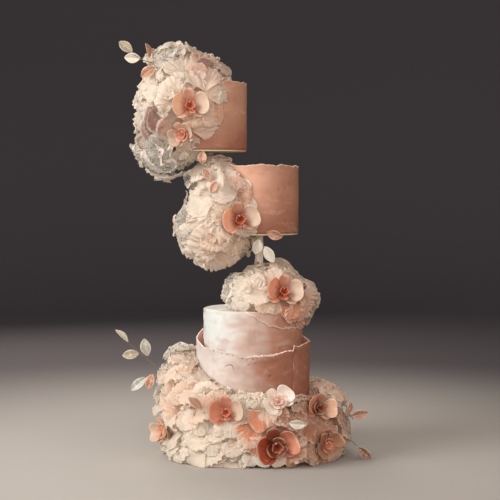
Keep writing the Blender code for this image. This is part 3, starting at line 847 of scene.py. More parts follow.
def make_orchid(node):
    """Five petals with rolled rims, two or three more inside a flower that closes far, and the lip."""
    way, width, roll, close, curl, left, right, heart = ORCHIDS[node]
    forward = direction(*way)
    where = facing_matrix(flower_seat(node, forward, width, roll, close), forward, roll)
    radius = width / 2
    seed = sum(map(ord, node)) % 97
    petals = Form()
    inner = ((60, 0.62, 0.50, False), (185, 0.66, 0.52, False), (300, 0.62, 0.46, False)) if close > 0.45 else ()
    for number, (angle, broad, long, behind) in enumerate(PETALS + inner):
        turn = Matrix.Rotation(math.radians(angle), 4, "Z")
        # The half turned from the lamp carries painted shade in its tint.
        body = left if 90 < angle < 270 else right
        if angle == 90:
            body = mix(mix(left, right, 0.3), heart, 0.4)
        if angle == 324:
            body = mix(left, right, 0.7)
        if number > 4:
            body = mix(body, heart, 0.45)
        layer = -0.0012 if behind else 0.0008 * (number - 2)

        def shape(u, v, turn=turn, body=body, layer=layer, broad=broad, long=long, number=number):
            side = 2 * u - 1
            along = radius * long * (0.05 + 0.95 * v)
            half = radius * broad / 2 * petal_half(v)
            flat = turn @ Vector((along, side * half, 0))
            cup = close * flat.length_squared / radius
            if broad > 1:
                cup += (curl if flat.x > 0 else 0.3 * curl) * flat.x**2 / radius
            if number > 4:
                cup += 1.1 * flat.length_squared / radius
            across = (0.42 if broad > 1 else 0.28) * half * side * side * (0.4 + 0.6 * v)
            wave = 0.10 * radius * abs(side) ** 3 * v * noise.noise(Vector((3 * v + number, 2 * side, seed)))
            tip = 0.10 * radius * smooth(0.75, 1.0, v) * (0.5 if broad > 1 else -0.6)
            rim = smooth(0.84, 1.0, max(abs(side) * (0.55 + 0.45 * v), v))
            waves = 0.07 * radius * noise.noise(Vector((1.5 * flat.x / radius, 1.5 * flat.y / radius, seed)))
            flat.z = cup + across + wave + tip + waves * v + layer - 0.05 * radius * rim
            colour = mix(heart, body, smooth(0.05, 0.62, v + 0.12 * noise.noise(Vector((5 * side, 3 * v, seed)))))
            return where @ flat, mix(colour, PETAL_RIM, 0.75 * rim)

        made = petals.grid(14, 15, shape)
        bmesh.ops.remove_doubles(petals.bm, verts=made, dist=0.00002)
    thicken(petals.piece(node + "_petals", [PETAL], "orchid", [node]), 0.0008)
    make_lip(node, where, radius, heart, seed)


def make_lip(node, where, radius, heart, seed):
    """The frilled lip, its two side lobes and the column above it."""
    lip = Form()
    lobes = (
        (270, 0.54, 0.56, 0.50), (24, 0.36, 0.40, 1.0), (156, 0.36, 0.40, 1.0), (250, 0.34, 0.34, 1.2),
        (295, 0.34, 0.34, 1.2),
    )
    for angle, long, broad, rise in lobes:
        turn = Matrix.Rotation(math.radians(angle), 4, "Z")

        def shape(u, v, turn=turn, long=long, broad=broad, rise=rise, angle=angle):
            side = 2 * u - 1
            half = radius * broad / 2 * (0.35 + 0.65 * smooth(0.1, 0.7, v)) * (1 - 0.35 * smooth(0.8, 1, v))
            along = radius * long * v * (1 - 0.3 * v * rise)
            frill = 0.045 * radius * smooth(0.4, 1, v) * math.sin(8 * side + seed + angle)
            frill += 0.09 * radius * v * noise.noise(Vector((4 * side, 3 * v, seed + angle)))
            trough = 0.5 * half * side * side
            height = radius * (0.06 + 0.34 * rise * math.sin(1.5 * v)) + trough + frill
            point = turn @ Vector((along, side * half, 0))
            point.z = height
            tip = mix(LIP_PINK, heart, 0.45)
            return where @ point, mix(mix(LIP_CORAL, heart, 0.5), tip, 0.85 * smooth(0.45, 1.0, v))

        lip.grid(12, 9, shape)
    thicken(lip.piece(node + "_lip", [LIP], "orchid"), 0.0009)
    column = Form()
    bmesh.ops.create_uvsphere(column.bm, u_segments=14, v_segments=10, radius=1)
    tilt = Matrix.Rotation(math.radians(-32), 4, "X")
    for vert in column.bm.verts:
        share = (vert.co.z + 1) / 2
        thick = radius * (0.075 + 0.03 * smooth(0.6, 0.9, share) - 0.02 * math.sin(math.pi * share))
        point = Vector((vert.co.x * thick, vert.co.y * thick, radius * 0.40 * share))
        point.y += 0.03 * radius * math.sin(math.pi * share)
        vert.co = where @ (tilt @ point)
        column.paint(vert, mix(heart, PETAL_CREAM, 0.5 * smooth(0.55, 0.9, share)))
    column.piece(node + "_column", [LIP], "orchid")


# ---------------------------------------------------------------- ruffles

# What the paper must keep clear of: the tiers' walls as (axis x, radius, lowest, highest).
WALLS = []
for tier_node, wrapped in (("tier_lower", "sheet_lower"), ("tier_upper", "sheet_upper"),
                           ("tier_mid", "sheet_mid"), ("tier_top", "sheet_top")):
    tier_x, tier_radius, tier_low, tier_high = tier_of(tier_node)
    WALLS.append((tier_x, tier_radius + SHEET_THICKNESS + 0.0012, tier_low - 0.0035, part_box(wrapped)[1].z))

# The flowers' seats, the ways they face, their radii and how far they close; the seats that the paper opens away
# from; and the boxes of the leaves.
FLOWERS = []
for flower, (flower_way, flower_width, flower_roll, flower_close, *_) in ORCHIDS.items():
    flower_forward = direction(*flower_way)
    flower_middle = flower_seat(flower, flower_forward, flower_width, flower_roll, flower_close)
    FLOWERS.append((flower_middle, flower_forward, flower_width / 2, flower_close))
FLOW_HEARTS = [
    flower[0] for flower, name in zip(FLOWERS, ORCHIDS) if name not in ("orchid_foot_side", "orchid_foot_low")
]
LEAF_BOXES = [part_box(node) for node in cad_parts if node.startswith("leaf_")]

# How far paper may stand past the frame's own box, and the paper's sizes.
ROOM = 0.010
PAPER_THICKNESS = 0.0005
SHEET_SPACING = 0.0335
SKIN_ROOM = 0.006
MOST_FACES = 40000
NET_STEP = 0.0042
MOST_PUSHED = 0.16
# Where the paper is only netting, in the front view: x, z and reach.
NET_ZONES = (
    (-0.186, 0.598, 0.040), (-0.150, 0.572, 0.024), (-0.176, 0.795, 0.022), (-0.120, 0.566, 0.018),
    (-0.142, 0.474, 0.022), (-0.052, 0.352, 0.022), (-0.180, 0.204, 0.026), (-0.190, 0.150, 0.018),
    (0.158, 0.118, 0.020),
)
# The middles that the ruffles on the tiers open from.
HEARTS = {
    "ruffle_top": (-0.136, -0.008, 0.694),
    "ruffle_mid": (-0.067, -0.018, 0.477),
    "ruffle_cap": (0.031, -0.020, 0.319),
}
# Sheets set one by one: ruffle, x and z of the middle, where the rim points (degrees from +X towards +Z in the
# front view), size, the angle it fills, tint, whether it is a net, and how far it stands forward.
PLACED = (
    ("ruffle_top", -0.169, 0.729, 140, 0.060, 150, CREAM, False, 0.004),
    ("ruffle_top", -0.134, 0.754, 100, 0.050, 140, CREAM, False, 0.002),
    ("ruffle_top", -0.092, 0.790, 75, 0.032, 130, MAUVE, False, 0.010),
    ("ruffle_top", -0.112, 0.776, 110, 0.036, 140, ROSE, False, 0.006),
    ("ruffle_top", -0.075, 0.760, 60, 0.036, 150, ROSE, False, 0.004),
    ("ruffle_top", -0.173, 0.793, 110, 0.036, 150, GREY_NET, True, 0.002),
    ("ruffle_top", -0.206, 0.674, 172, 0.052, 140, MAUVE, False, 0.016),
    ("ruffle_top", -0.212, 0.657, 205, 0.044, 130, MAUVE, False, 0.014),
    ("ruffle_top", -0.178, 0.655, 190, 0.034, 150, ROSE, False, 0.012),
    ("ruffle_top", -0.200, 0.672, 205, 0.038, 150, MAUVE, False, 0.016),
    ("ruffle_top", -0.072, 0.682, -40, 0.046, 150, SHEER, False, 0.004),
    ("ruffle_top", -0.084, 0.650, -75, 0.042, 150, SHEER, False, 0.004),
    ("ruffle_top", -0.183, 0.587, 235, 0.052, 160, GREY_NET, True, 0.004),
    ("ruffle_top", -0.198, 0.621, 190, 0.040, 150, GREY_NET, True, 0.006),
    ("ruffle_top", -0.061, 0.690, 20, 0.034, 150, PEACH, False, 0.000),
    ("ruffle_top", -0.064, 0.668, -10, 0.032, 150, PEACH, False, 0.002),
    ("ruffle_top", -0.072, 0.645, -40, 0.034, 150, PEACH, False, 0.001),
    ("ruffle_top", -0.055, 0.768, 60, 0.022, 170, CREAM, False, 0.000),
    ("ruffle_mid", -0.128, 0.562, 225, 0.034, 160, IVORY, True, 0.004),
    ("ruffle_mid", -0.094, 0.597, 160, 0.030, 170, CREAM, False, 0.002),
    ("ruffle_mid", -0.140, 0.469, 190, 0.036, 160, GREY_NET, True, 0.002),
    ("ruffle_mid", -0.089, 0.489, 200, 0.055, 150, CREAM, False, 0.004),
    ("ruffle_mid", -0.075, 0.430, 265, 0.046, 160, PEACH, False, 0.002),
    ("ruffle_mid", -0.034, 0.554, 70, 0.038, 150, ROSE, False, 0.006),
    ("ruffle_mid", -0.012, 0.530, 10, 0.036, 150, SHEER, False, 0.004),
    ("ruffle_mid", 0.010, 0.546, 10, 0.028, 150, CREAM, False, 0.001),
    ("ruffle_mid", 0.006, 0.510, -20, 0.026, 150, CREAM, False, 0.001),
    ("ruffle_cap", -0.047, 0.350, 150, 0.032, 160, GREY_NET, True, 0.002),
    ("ruffle_cap", -0.006, 0.346, 120, 0.046, 150, CREAM, False, 0.003),
    ("ruffle_cap", 0.100, 0.322, -10, 0.036, 160, BEIGE, False, 0.003),
    ("ruffle_cap", 0.073, 0.293, 268, 0.030, 170, CORAL, False, 0.002),
    ("ruffle_cap", 0.022, 0.306, 250, 0.036, 160, PEACH, False, 0.004),
    ("ruffle_foot", -0.153, 0.175, 120, 0.050, 160, PEACH, False, 0.002),
    ("ruffle_foot", -0.173, 0.126, 172, 0.050, 160, PEACH, False, 0.003),
    ("ruffle_foot", -0.140, 0.150, 120, 0.058, 150, PEACH, False, 0.010),
    ("ruffle_foot", -0.160, 0.108, 170, 0.052, 140, WARM_PAPER, False, 0.010),
    ("ruffle_foot", -0.116, 0.084, 240, 0.050, 150, CREAM, False, 0.010),
    ("ruffle_foot", -0.094, 0.132, 75, 0.042, 140, WARM_PAPER, False, 0.010),
    ("ruffle_foot", -0.178, 0.196, 130, 0.034, 160, GREY_NET, True, 0.003),
    ("ruffle_foot", -0.111, 0.050, 240, 0.042, 160, CREAM, False, 0.010),
    ("ruffle_foot", -0.048, 0.074, 258, 0.044, 160, CREAM, False, 0.009),
    ("ruffle_foot", -0.080, 0.036, 255, 0.034, 190, IVORY, False, 0.010),
    ("ruffle_foot", -0.036, 0.034, 275, 0.034, 190, CREAM, False, 0.010),
    ("ruffle_foot", -0.008, 0.052, 262, 0.034, 190, PEACH, False, 0.009),
    ("ruffle_foot", -0.054, 0.031, 300, 0.022, 130, ROSE, False, 0.006),
    ("ruffle_foot", 0.010, 0.125, 100, 0.036, 160, IVORY, False, 0.001),
    ("ruffle_foot", -0.030, 0.132, 100, 0.038, 160, IVORY, False, 0.004),
    ("ruffle_foot", -0.072, 0.138, 105, 0.040, 160, PEACH, False, 0.006),
    ("ruffle_foot", -0.100, 0.150, 125, 0.044, 160, CREAM, False, 0.006),
    ("ruffle_foot", 0.002, 0.136, 85, 0.040, 160, CREAM, False, 0.006),
    ("ruffle_foot", 0.040, 0.134, 70, 0.036, 160, IVORY, False, 0.006),
    ("ruffle_foot", -0.024, 0.110, 215, 0.040, 170, IVORY, False, 0.004),
    ("ruffle_foot", 0.030, 0.112, 40, 0.034, 170, IVORY, False, 0.004),
    ("ruffle_foot", 0.055, 0.104, 350, 0.036, 170, BEIGE, False, 0.003),
    ("ruffle_foot", 0.020, 0.096, 262, 0.042, 140, PEACH, False, 0.003),
    ("ruffle_foot", -0.010, 0.070, 240, 0.048, 130, CORAL, False, 0.006),
    ("ruffle_foot", 0.006, 0.092, 235, 0.040, 150, CORAL, False, 0.008),
    ("ruffle_foot", 0.000, 0.040, 225, 0.036, 150, CORAL, False, 0.010),
    # This rust sheet is painted shade between the flowers.
    ("ruffle_foot", 0.076, 0.074, 322, 0.040, 150, SHADED_RUST, False, 0.006),
    ("ruffle_foot", 0.138, 0.075, 35, 0.042, 160, BEIGE, False, 0.003),
    ("ruffle_foot", 0.108, 0.030, 285, 0.034, 150, BEIGE, False, 0.004),
    ("ruffle_foot", 0.102, 0.108, 290, 0.036, 170, BEIGE, False, 0.004),
    ("ruffle_foot", 0.128, 0.088, 245, 0.034, 170, BEIGE, False, 0.004),
    ("ruffle_foot", 0.084, 0.050, 250, 0.030, 180, PEACH, False, 0.004),
    ("ruffle_foot", -0.006, 0.014, 262, 0.024, 190, IVORY, False, 0.010),
    ("ruffle_foot", 0.022, 0.012, 270, 0.024, 190, CREAM, False, 0.010),
    ("ruffle_foot", 0.050, 0.012, 282, 0.024, 190, PEACH, False, 0.010),
    ("ruffle_foot", 0.078, 0.012, 290, 0.024, 190, BEIGE, False, 0.010),
    ("ruffle_foot", 0.172, 0.034, -20, 0.030, 160, BEIGE, False, 0.002),
)

# Patches of colour over the ruffles in the front view: x, z, reach and colour. The rust patches are painted shade
# between the flowers on the foot's right.
BLUSHES = (
    (-0.122, 0.700, 0.045, WARM_PAPER), (-0.140, 0.650, 0.040, WARM_PAPER), (-0.060, 0.660, 0.055, WARM_PAPER),
    (-0.095, 0.785, 0.034, ROSE), (-0.218, 0.664, 0.026, MAUVE), (-0.165, 0.590, 0.040, GREY_NET),
    (-0.030, 0.552, 0.030, ROSE), (-0.066, 0.440, 0.045, WARM_PAPER),
    (-0.020, 0.480, 0.040, WARM_PAPER), (0.058, 0.338, 0.046, WARM_PAPER), (0.085, 0.290, 0.045, CORAL),
    (-0.150, 0.190, 0.060, PEACH), (-0.120, 0.120, 0.050, PEACH), (0.046, 0.060, 0.042, CORAL),
    (0.010, 0.085, 0.034, CORAL), (0.140, 0.110, 0.055, CORAL), (0.150, 0.040, 0.060, BEIGE),
    (0.096, 0.076, 0.034, SHADED_RUST), (0.110, 0.050, 0.040, CORAL), (0.098, 0.128, 0.022, SHADED_RUST),
    (0.128, 0.062, 0.026, SHADED_RUST),
    (-0.052, 0.045, 0.020, ROSE),
)


def paper_colour(point, choose):
    """The paper's colour where a sheet is gathered, with some chance in it: its patches, the painted shade of the
    rust ones among them, and more peach towards the right.
    """
    colour = mix(IVORY, CREAM, choose.random())
    for x, z, reach, patch in BLUSHES:
        strength = math.exp(-(((point.x - x) ** 2 + (point.z - z) ** 2) / reach**2))
        side = 1 if point.y < 0 else 0.6
        colour = mix(colour, patch, side * strength * choose.uniform(0.5, 1.0))
    # More peach towards the right.
    return mix(colour, PEACH, choose.uniform(0, 0.25) * smooth(-0.2, 0.15, point.x))


class Obstacles:
    """What lies near one sheet of paper, which it has to stay behind or outside."""

    def __init__(self, centre, reach, skin):
        self.pushed = 0
        self.skin = skin
        self.flowers = [f for f in FLOWERS if (f[0] - centre).length < reach + 1.6 * f[2]]
        self.leaves = [
            (low, high) for low, high in LEAF_BOXES
            if low.x - reach < centre.x < high.x + reach and low.z - reach < centre.z < high.z + reach
        ]

    def clear(self, point):
        if self.skin:
            near, normal, _, off = self.skin.find_nearest(point)
            if off > SKIN_ROOM and (point - near).dot(normal) > 0:
                point += 0.7 * (1 - SKIN_ROOM / off) * (near - point)
        for axis_x, radius, low, high in WALLS:
            off = Vector((point.x - axis_x, point.y, 0))
            stand = radius + 0.0022 * (0.5 + noise.noise(60 * point))
            inside = stand - off.length
            if low < point.z < high and inside > 0:
                self.pushed += min(inside, high - point.z, point.z - low) > 0.007
                if high - point.z < inside:
                    point.z = high + 0.0006
                elif point.z - low < inside:
                    point.z = low - 0.0006
                else:
                    point += off * (stand / max(off.length, 0.001) - 1)
        for seat, forward, radius, close in self.flowers:
            off = point - seat
            ahead = off.dot(forward)
            aside = (off - ahead * forward).length
            limit = close * min(aside, radius) ** 2 / radius - 0.005 + 0.9 * max(0, aside - radius)
            if aside < 1.5 * radius and ahead > limit:
                point -= (ahead - limit) * smooth(0.006, 0.018, point.z) * forward
        for low, high in self.leaves:
            outside = max(low.x - point.x, point.x - high.x, low.z - point.z, point.z - high.z, 0)
            limit = high.y + 0.0012 - 1.4 * outside
            if outside < 0.022 and point.y < limit:
                point.y = limit
        for axis in range(3):
            point[axis] = max(CAD_BOX[0][axis] - ROOM, min(CAD_BOX[1][axis] + ROOM, point[axis]))
        point.z = max(point.z, 0.0011)
        return point


def spots(node, heart, spacing, choose, most=4000):
    """Points spread evenly over a node's open surface, each with the way that paper there faces."""
    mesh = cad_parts[node].data
    polygons = [p for p in mesh.polygons if p.area > 1e-9]
    chances = [p.area for p in polygons]
    found = []
    for polygon in choose.choices(polygons, chances, k=most):
        a, b, c = (mesh.vertices[i].co for i in polygon.vertices[:3])
        s, t = sorted((choose.random(), choose.random()))
        point = a * s + b * (t - s) + c * (1 - t)
        if point.z < 0.004 or any((point - other).length < spacing for other, _ in found):
            continue
        near_wall = any(
            low - 0.004 < point.z < high + 0.002 and math.hypot(point.x - x, point.y) < radius + 0.004
            for x, radius, low, high in WALLS
        )
        if near_wall:
            continue
        outward = (point - heart(point)).normalized()
        found.append((point, (0.35 * polygon.normal + outward).normalized()))
    return found


def profile_of(size, opening):
    """How a sheet opens from its gathered point: (outwards, upwards, angle from its axis) along its length."""
    steps = 24
    found = [(0.0, 0.0, math.radians(opening[0]))]
    for k in range(1, steps + 1):
        bend = math.radians(opening[0] + (opening[1] - opening[0]) * (k / steps) ** 1.2)
        out, up, _ = found[-1]
        found.append((out + size * math.sin(bend) / steps, up + size * math.cos(bend) / steps, bend))
    return found


def sheet_place(point, facing, along, profile, whole):
    """Puts a sheet so that the middle of a fan, or the rim of a whole gathered disc, comes to the point."""
    across = facing.cross(along).normalized()
    ahead = across.cross(facing)
    out, up, _ = profile[-1] if whole else profile[15]
    seat = point - facing * up - (0 if whole else out) * ahead
    return Matrix.Translation(seat) @ Matrix((ahead, across, facing)).transposed().to_4x4()


def ruffle(form, point, facing, along, size, colours, choose, fan=360.0, frill=1.0, opening=(25, 100), net=0.0):
    """One gathered sheet of rice paper whose rim points along. fan is the angle it fills, and opening the angle
    between it and its axis at its gathered point and at its rim. net is the share of it that is open netting."""
    whole = fan > 300
    columns, rows = (64, 6) if whole else (54, 11) if size > 0.03 else (36, 7)
    if net:
        columns, rows = round(fan / 57.3 * size / NET_STEP), round(size / NET_STEP)
    profile = profile_of(size, opening)
    where = sheet_place(point, facing, along, profile, whole)
    obstacles = Obstacles(point, 1.3 * size, form.skin)
    seed = choose.uniform(0, 500)
    folds = choose.uniform(3, 5) if not whole else choose.randint(4, 5)
    gathers = choose.uniform(24, 32) if not whole else choose.randint(14, 16)
    crumple = Vector((seed, seed, 0))
    root, body, rim = colours
    span = math.radians(fan)

    def shape(u, v):
        v = v if net else 1 - (1 - v) ** 1.35
        turn = span * (u - 0.5)
        ring = Vector((math.cos(turn), math.sin(turn), 0))
        out, up, bend = profile_at(profile, v)
        drift = noise.noise(Vector((1.3 * ring.x, 1.3 * ring.y, seed)))
        slow = math.sin(folds * turn + 2.6 * drift + seed)
        quick = math.sin(gathers * turn + 6 * drift - seed)
        fine = noise.noise(Vector((9 * ring.x, 9 * ring.y, seed + 2 * v)))
        teeth = noise.noise(Vector((24 * ring.x, 24 * ring.y, seed + 4 * v)))
        edge = smooth(0.55, 1.0, v) ** 1.5
        torn = 1 + v * 0.17 * drift + edge * (0.06 * fine + 0.07 * teeth)
        if not whole:
            torn *= 1 - 0.42 * v * abs(2 * u - 1) ** 2.6
        spread = size * v * ring
        pillow = 0.08 * noise.noise(Vector((2.2 * v + seed, 2.0 * ring.x, 2.0 * ring.y)))
        creased = abs(noise.noise(70 * spread + crumple)) + 0.6 * abs(noise.noise(150 * spread - crumple))
        pleat = abs(math.sin(0.45 * gathers * turn + 3 * drift + 2.4 * fine + seed)) * (0.7 + fine)
        ripple = 0.055 * quick + 0.050 * fine + 0.03 * teeth
        height = size * frill * (v * (0.04 * slow + pillow) + edge * ripple)
        height -= v * (0.0024 * creased + 0.0024 * pleat)
        radial = out * torn - math.cos(bend) * height
        local = Vector((ring.x * radial, ring.y * radial, up * (0.6 + 0.4 * torn) + math.sin(bend) * height))
        # The root is deepened partly as painted shade and the rim lightened partly as a painted highlight.
        colour = mix(root, body, smooth(0.1, 0.75, v))
        colour = mix(colour, rim, smooth(0.84, 1.0, v))
        return obstacles.clear(where @ local), colour

    made = form.grid(columns, rows, shape)
    if obstacles.pushed > MOST_PUSHED * len(made):
        bmesh.ops.delete(form.bm, geom=made, context="VERTS")
        return
    if net:
        made = pierce(form, made, 1 - net, choose)
    bmesh.ops.remove_doubles(form.bm, verts=made, dist=0.00008)


def profile_at(profile, v):
    """The profile's values at a share of its length."""
    place = v * (len(profile) - 1)
    number = min(int(place), len(profile) - 2)
    return [a + (b - a) * (place - number) for a, b in zip(profile[number], profile[number + 1])]


def pierce(form, made, start, choose):
    """Turns a sheet past start along its length into netting: most of its small faces get a hole."""
    faces = [f for f in {f for v in made for f in v.link_faces}]
    faces.sort(key=lambda f: f.index)
    holes = []
    for face in faces:
        blade = face.verts[0][form.blade]
        chance = 0.92 * smooth(start - 0.06, start + 0.12, blade.y)
        if blade.y < 0.96 and choose.random() < chance and face.calc_area() > 0.3 * NET_STEP**2:
            holes.append(face)
    for vert in made:
        vert.co += 0.22 * NET_STEP * noise.noise_vector(700 * vert.co)
    bmesh.ops.inset_individual(form.bm, faces=holes, thickness=0.16 * NET_STEP, use_even_offset=False)
    bmesh.ops.delete(form.bm, geom=holes, context="FACES")
    return [v for v in form.bm.verts if v.is_valid and not v.link_faces] + [v for v in made if v.is_valid]


def tree_of(node):
    """The node's surface, ready for rays."""
    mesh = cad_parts[node].data
    return BVHTree.FromPolygons([v.co for v in mesh.vertices], [p.vertices for p in mesh.polygons])


def ruffle_core(name, node, centre):
    """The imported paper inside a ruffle, which fills it behind its sheets."""
    choose = random.Random(5)
    tree = tree_of(node)
    form = Form()
    bmesh.ops.create_icosphere(form.bm, subdivisions=5, radius=1)
    far = 0.4
    for vert in form.bm.verts:
        way = vert.co.normalized()
        hit = tree.ray_cast(centre + far * way, -way, far)
        reach = (hit[0] - centre).length if hit[0] else 0.012
        crumple = 1 + 0.06 * noise.noise(5 * way) - 0.10 * abs(noise.noise(9 * way)) + 0.03 * noise.noise(30 * way)
        reach *= 0.86 - 0.36 * netted(centre + reach * way)
        vert.co = centre + way * max(0.008, reach * crumple)
        form.paint(vert, paper_colour(vert.co, choose))
    form.piece(name, [PAPER], "rice_paper")


def foot_core(name, node):
    """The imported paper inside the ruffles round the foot."""
    choose = random.Random(6)
    tree = tree_of(node)
    form = Form()
    wall = WALLS[0][1]
    middle = wall + 0.028
    level = 0.05
    ring = bmesh.ops.create_circle(form.bm, cap_ends=False, segments=40, radius=0.01)["verts"]
    bmesh.ops.rotate(form.bm, verts=ring, cent=(0, 0, 0), matrix=Matrix.Rotation(math.radians(90), 3, "X"))
    bmesh.ops.translate(form.bm, verts=ring, vec=(middle, 0, level))
    edges = list({e for v in ring for e in v.link_edges})
    bmesh.ops.spin(
        form.bm, geom=ring + edges, cent=(0, 0, 0), axis=(0, 0, 1), angle=2 * math.pi, steps=160, use_merge=True
    )
    bmesh.ops.remove_doubles(form.bm, verts=form.bm.verts, dist=0.00001)
    bmesh.ops.recalc_face_normals(form.bm, faces=form.bm.faces)
    for vert in form.bm.verts:
        outward = Vector((vert.co.x, vert.co.y, 0)).normalized()
        centre = outward * middle + Vector((0, 0, level))
        way = (vert.co - centre).normalized()
        hit = tree.ray_cast(centre, way)
        reach = (hit[0] - centre).length if hit[0] else 0.02
        reach *= 1 - 0.4 * netted(centre + reach * way)
        crumple = 0.10 * noise.noise(25 * vert.co) - 0.16 * abs(noise.noise(48 * vert.co))
        vert.co = centre + way * reach * (0.79 + crumple)
        vert.co.z = max(vert.co.z, 0.001)
        form.paint(vert, paper_colour(vert.co, choose))
    form.piece(name, [PAPER], "rice_paper")


def netted(point):
    """How far a place lies inside the netting, from 0 to 1."""
    if point.y > 0.05:
        return 0.0
    return max(1 - smooth(0.7, 1.1, math.hypot(point.x - x, point.z - z) / reach) for x, z, reach in NET_ZONES)


def heart_of_foot(point):
    """The middle of the foot's ruffles nearest to a point."""
    outward = Vector((point.x, point.y, 0)).normalized()
    return outward * 0.138 + Vector((0, 0, 0.4 * point.z))


def sheet_colours(colour):
    """A sheet's tints where it is gathered, over its body and along its rim: the gathered root deepened towards
    peach, partly as painted shade and partly for thicker paper, and the rim lightened, partly as a painted highlight
    and partly for thin paper.
    """
    return mix(colour, PEACH, 0.30), colour, mix(colour, LIT_PAPER_RIM, 0.6)


def flow_at(point, facing):
    """The way the paper flows at a point, away from the nearest orchid, and how far that orchid is."""
    seat = min(FLOW_HEARTS, key=lambda seat: (seat - point).length)
    off = point - seat
    flow = off - off.dot(facing) * facing
    return flow.normalized(), off.length


def scatter_sheets(forms, nets, node, heart, spacing, seed):
    """Covers a ruffle with petals of paper that lie back from the orchids, and small crisp ruffles between."""
    choose = random.Random(seed)
    places = spots(node, heart, spacing, choose)
    places.sort(key=lambda place: math.atan2(place[0].y, place[0].x))
    for point, facing in places:
        flow, away = flow_at(point, facing)
        colours = sheet_colours(paper_colour(point, choose))
        crisp = choose.random() < 0.16
        if crisp:
            facing = (facing + 0.25 * Vector([choose.gauss(0, 1) for _ in range(3)])).normalized()
            size = choose.uniform(0.020, 0.028)
            shape = {"fan": 360, "frill": choose.uniform(1.0, 1.4), "opening": (15, choose.uniform(70, 90))}
        else:
            facing = (facing + 0.08 * Vector([choose.gauss(0, 1) for _ in range(3)])).normalized()
            flow = (flow + 0.40 * Vector([choose.gauss(0, 1) for _ in range(3)])).normalized()
            size = choose.uniform(0.85, 1.20) * (0.040 + 0.022 * smooth(0.03, 0.08, away))
            lie = smooth(0.03, 0.09, away)
            shape = {
                "fan": choose.uniform(120, 200),
                "frill": choose.uniform(0.7, 1.1),
                "opening": (40 + 12 * lie, 86 + 16 * lie + choose.uniform(-8, 8)),
            }
        proud = choose.uniform(-0.004, 0.001)
        net = netted(point)
        if net > 0.5 and not crisp:
            grey = sheet_colours(mix(GREY_NET, CREAM, choose.uniform(0, 0.6)))
            ruffle(nets, point + proud * facing, facing, flow, size, grey, choose, net=0.85, **shape)
        elif net < 0.5:
            ruffle(forms[-1], point + proud * facing, facing, flow, size, colours, choose, **shape)
        if len(forms[-1].bm.faces) > MOST_FACES:
            forms.append(Form(forms[0].skin))


def scatter_frills(forms, node, heart, seed):
    """Small frilled tufts that stand between the broad sheets."""
    choose = random.Random(seed)
    for point, facing in spots(node, heart, 0.033, choose, 1500):
        if netted(point) > 0.3:
            continue
        flow, away = flow_at(point, facing)
        if away < 0.034:
            continue
        facing = (facing + 0.3 * flow + 0.2 * Vector([choose.gauss(0, 1) for _ in range(3)])).normalized()
        size = choose.uniform(0.018, 0.027)
        ruffle(
            forms[-1], point + 0.004 * facing, facing, flow, size, sheet_colours(paper_colour(point, choose)), choose,
            fan=choose.choice((360, 240, 200)), frill=choose.uniform(1.4, 2.0), opening=(12, choose.uniform(55, 80)),
        )
        if len(forms[-1].bm.faces) > MOST_FACES:
            forms.append(Form(forms[0].skin))


def make_skirt():
    """The lowest paper of the foot, which meets the floor all the way round."""
    choose = random.Random(77)
    tree = tree_of("ruffle_foot")
    form = Form(tree)
    azimuth = 0.0
    while azimuth < 359:
        outward = direction(azimuth + choose.uniform(-3, 3))
        hit = tree.ray_cast(0.5 * outward + Vector((0, 0, 0.014)), -outward)
        if hit[0]:
            point = hit[0] + Vector((0, 0, 0.004)) - 0.004 * outward
            facing = (outward + Vector((0, 0, 0.5))).normalized()
            flow = (outward - Vector((0, 0, 1.0)) + 0.3 * outward.cross(Vector((0, 0, 1)))).normalized()
            ruffle(
                form, point, facing, flow, choose.uniform(0.022, 0.034), sheet_colours(paper_colour(point, choose)),
                choose, fan=choose.uniform(150, 220), frill=1.7, opening=(40, 100),
            )
        azimuth += 7
    thicken(form.piece("ruffle_foot_skirt", [PAPER], "rice_paper"), PAPER_THICKNESS)


def make_ruffles():
    hearts = {node: Vector(middle) for node, middle in HEARTS.items()}
    masses = (
        ("ruffle_top", lambda p: hearts["ruffle_top"], 11),
        ("ruffle_mid", lambda p: hearts["ruffle_mid"], 12),
        ("ruffle_cap", lambda p: hearts["ruffle_cap"], 13),
        ("ruffle_foot", heart_of_foot, 14),
    )
    for node, heart, seed in masses:
        tree = tree_of(node)
        forms = [Form(tree)]
        nets = Form(tree)
        scatter_sheets(forms, nets, node, heart, SHEET_SPACING, seed)
        scatter_frills(forms, node, heart, seed + 50)
        thicken(nets.piece(node + "_net", [LACE], "rice_paper"), PAPER_THICKNESS)
        for count, form in enumerate(forms):
            name = f"{node}_paper_{count + 1}"
            thicken(form.piece(name, [PAPER], "rice_paper", [node] if count == 0 else ()), PAPER_THICKNESS)
    for node, middle in hearts.items():
        ruffle_core(node + "_core", node, middle)
    foot_core("ruffle_foot_core", "ruffle_foot")
    make_skirt()
    make_placed_sheets()


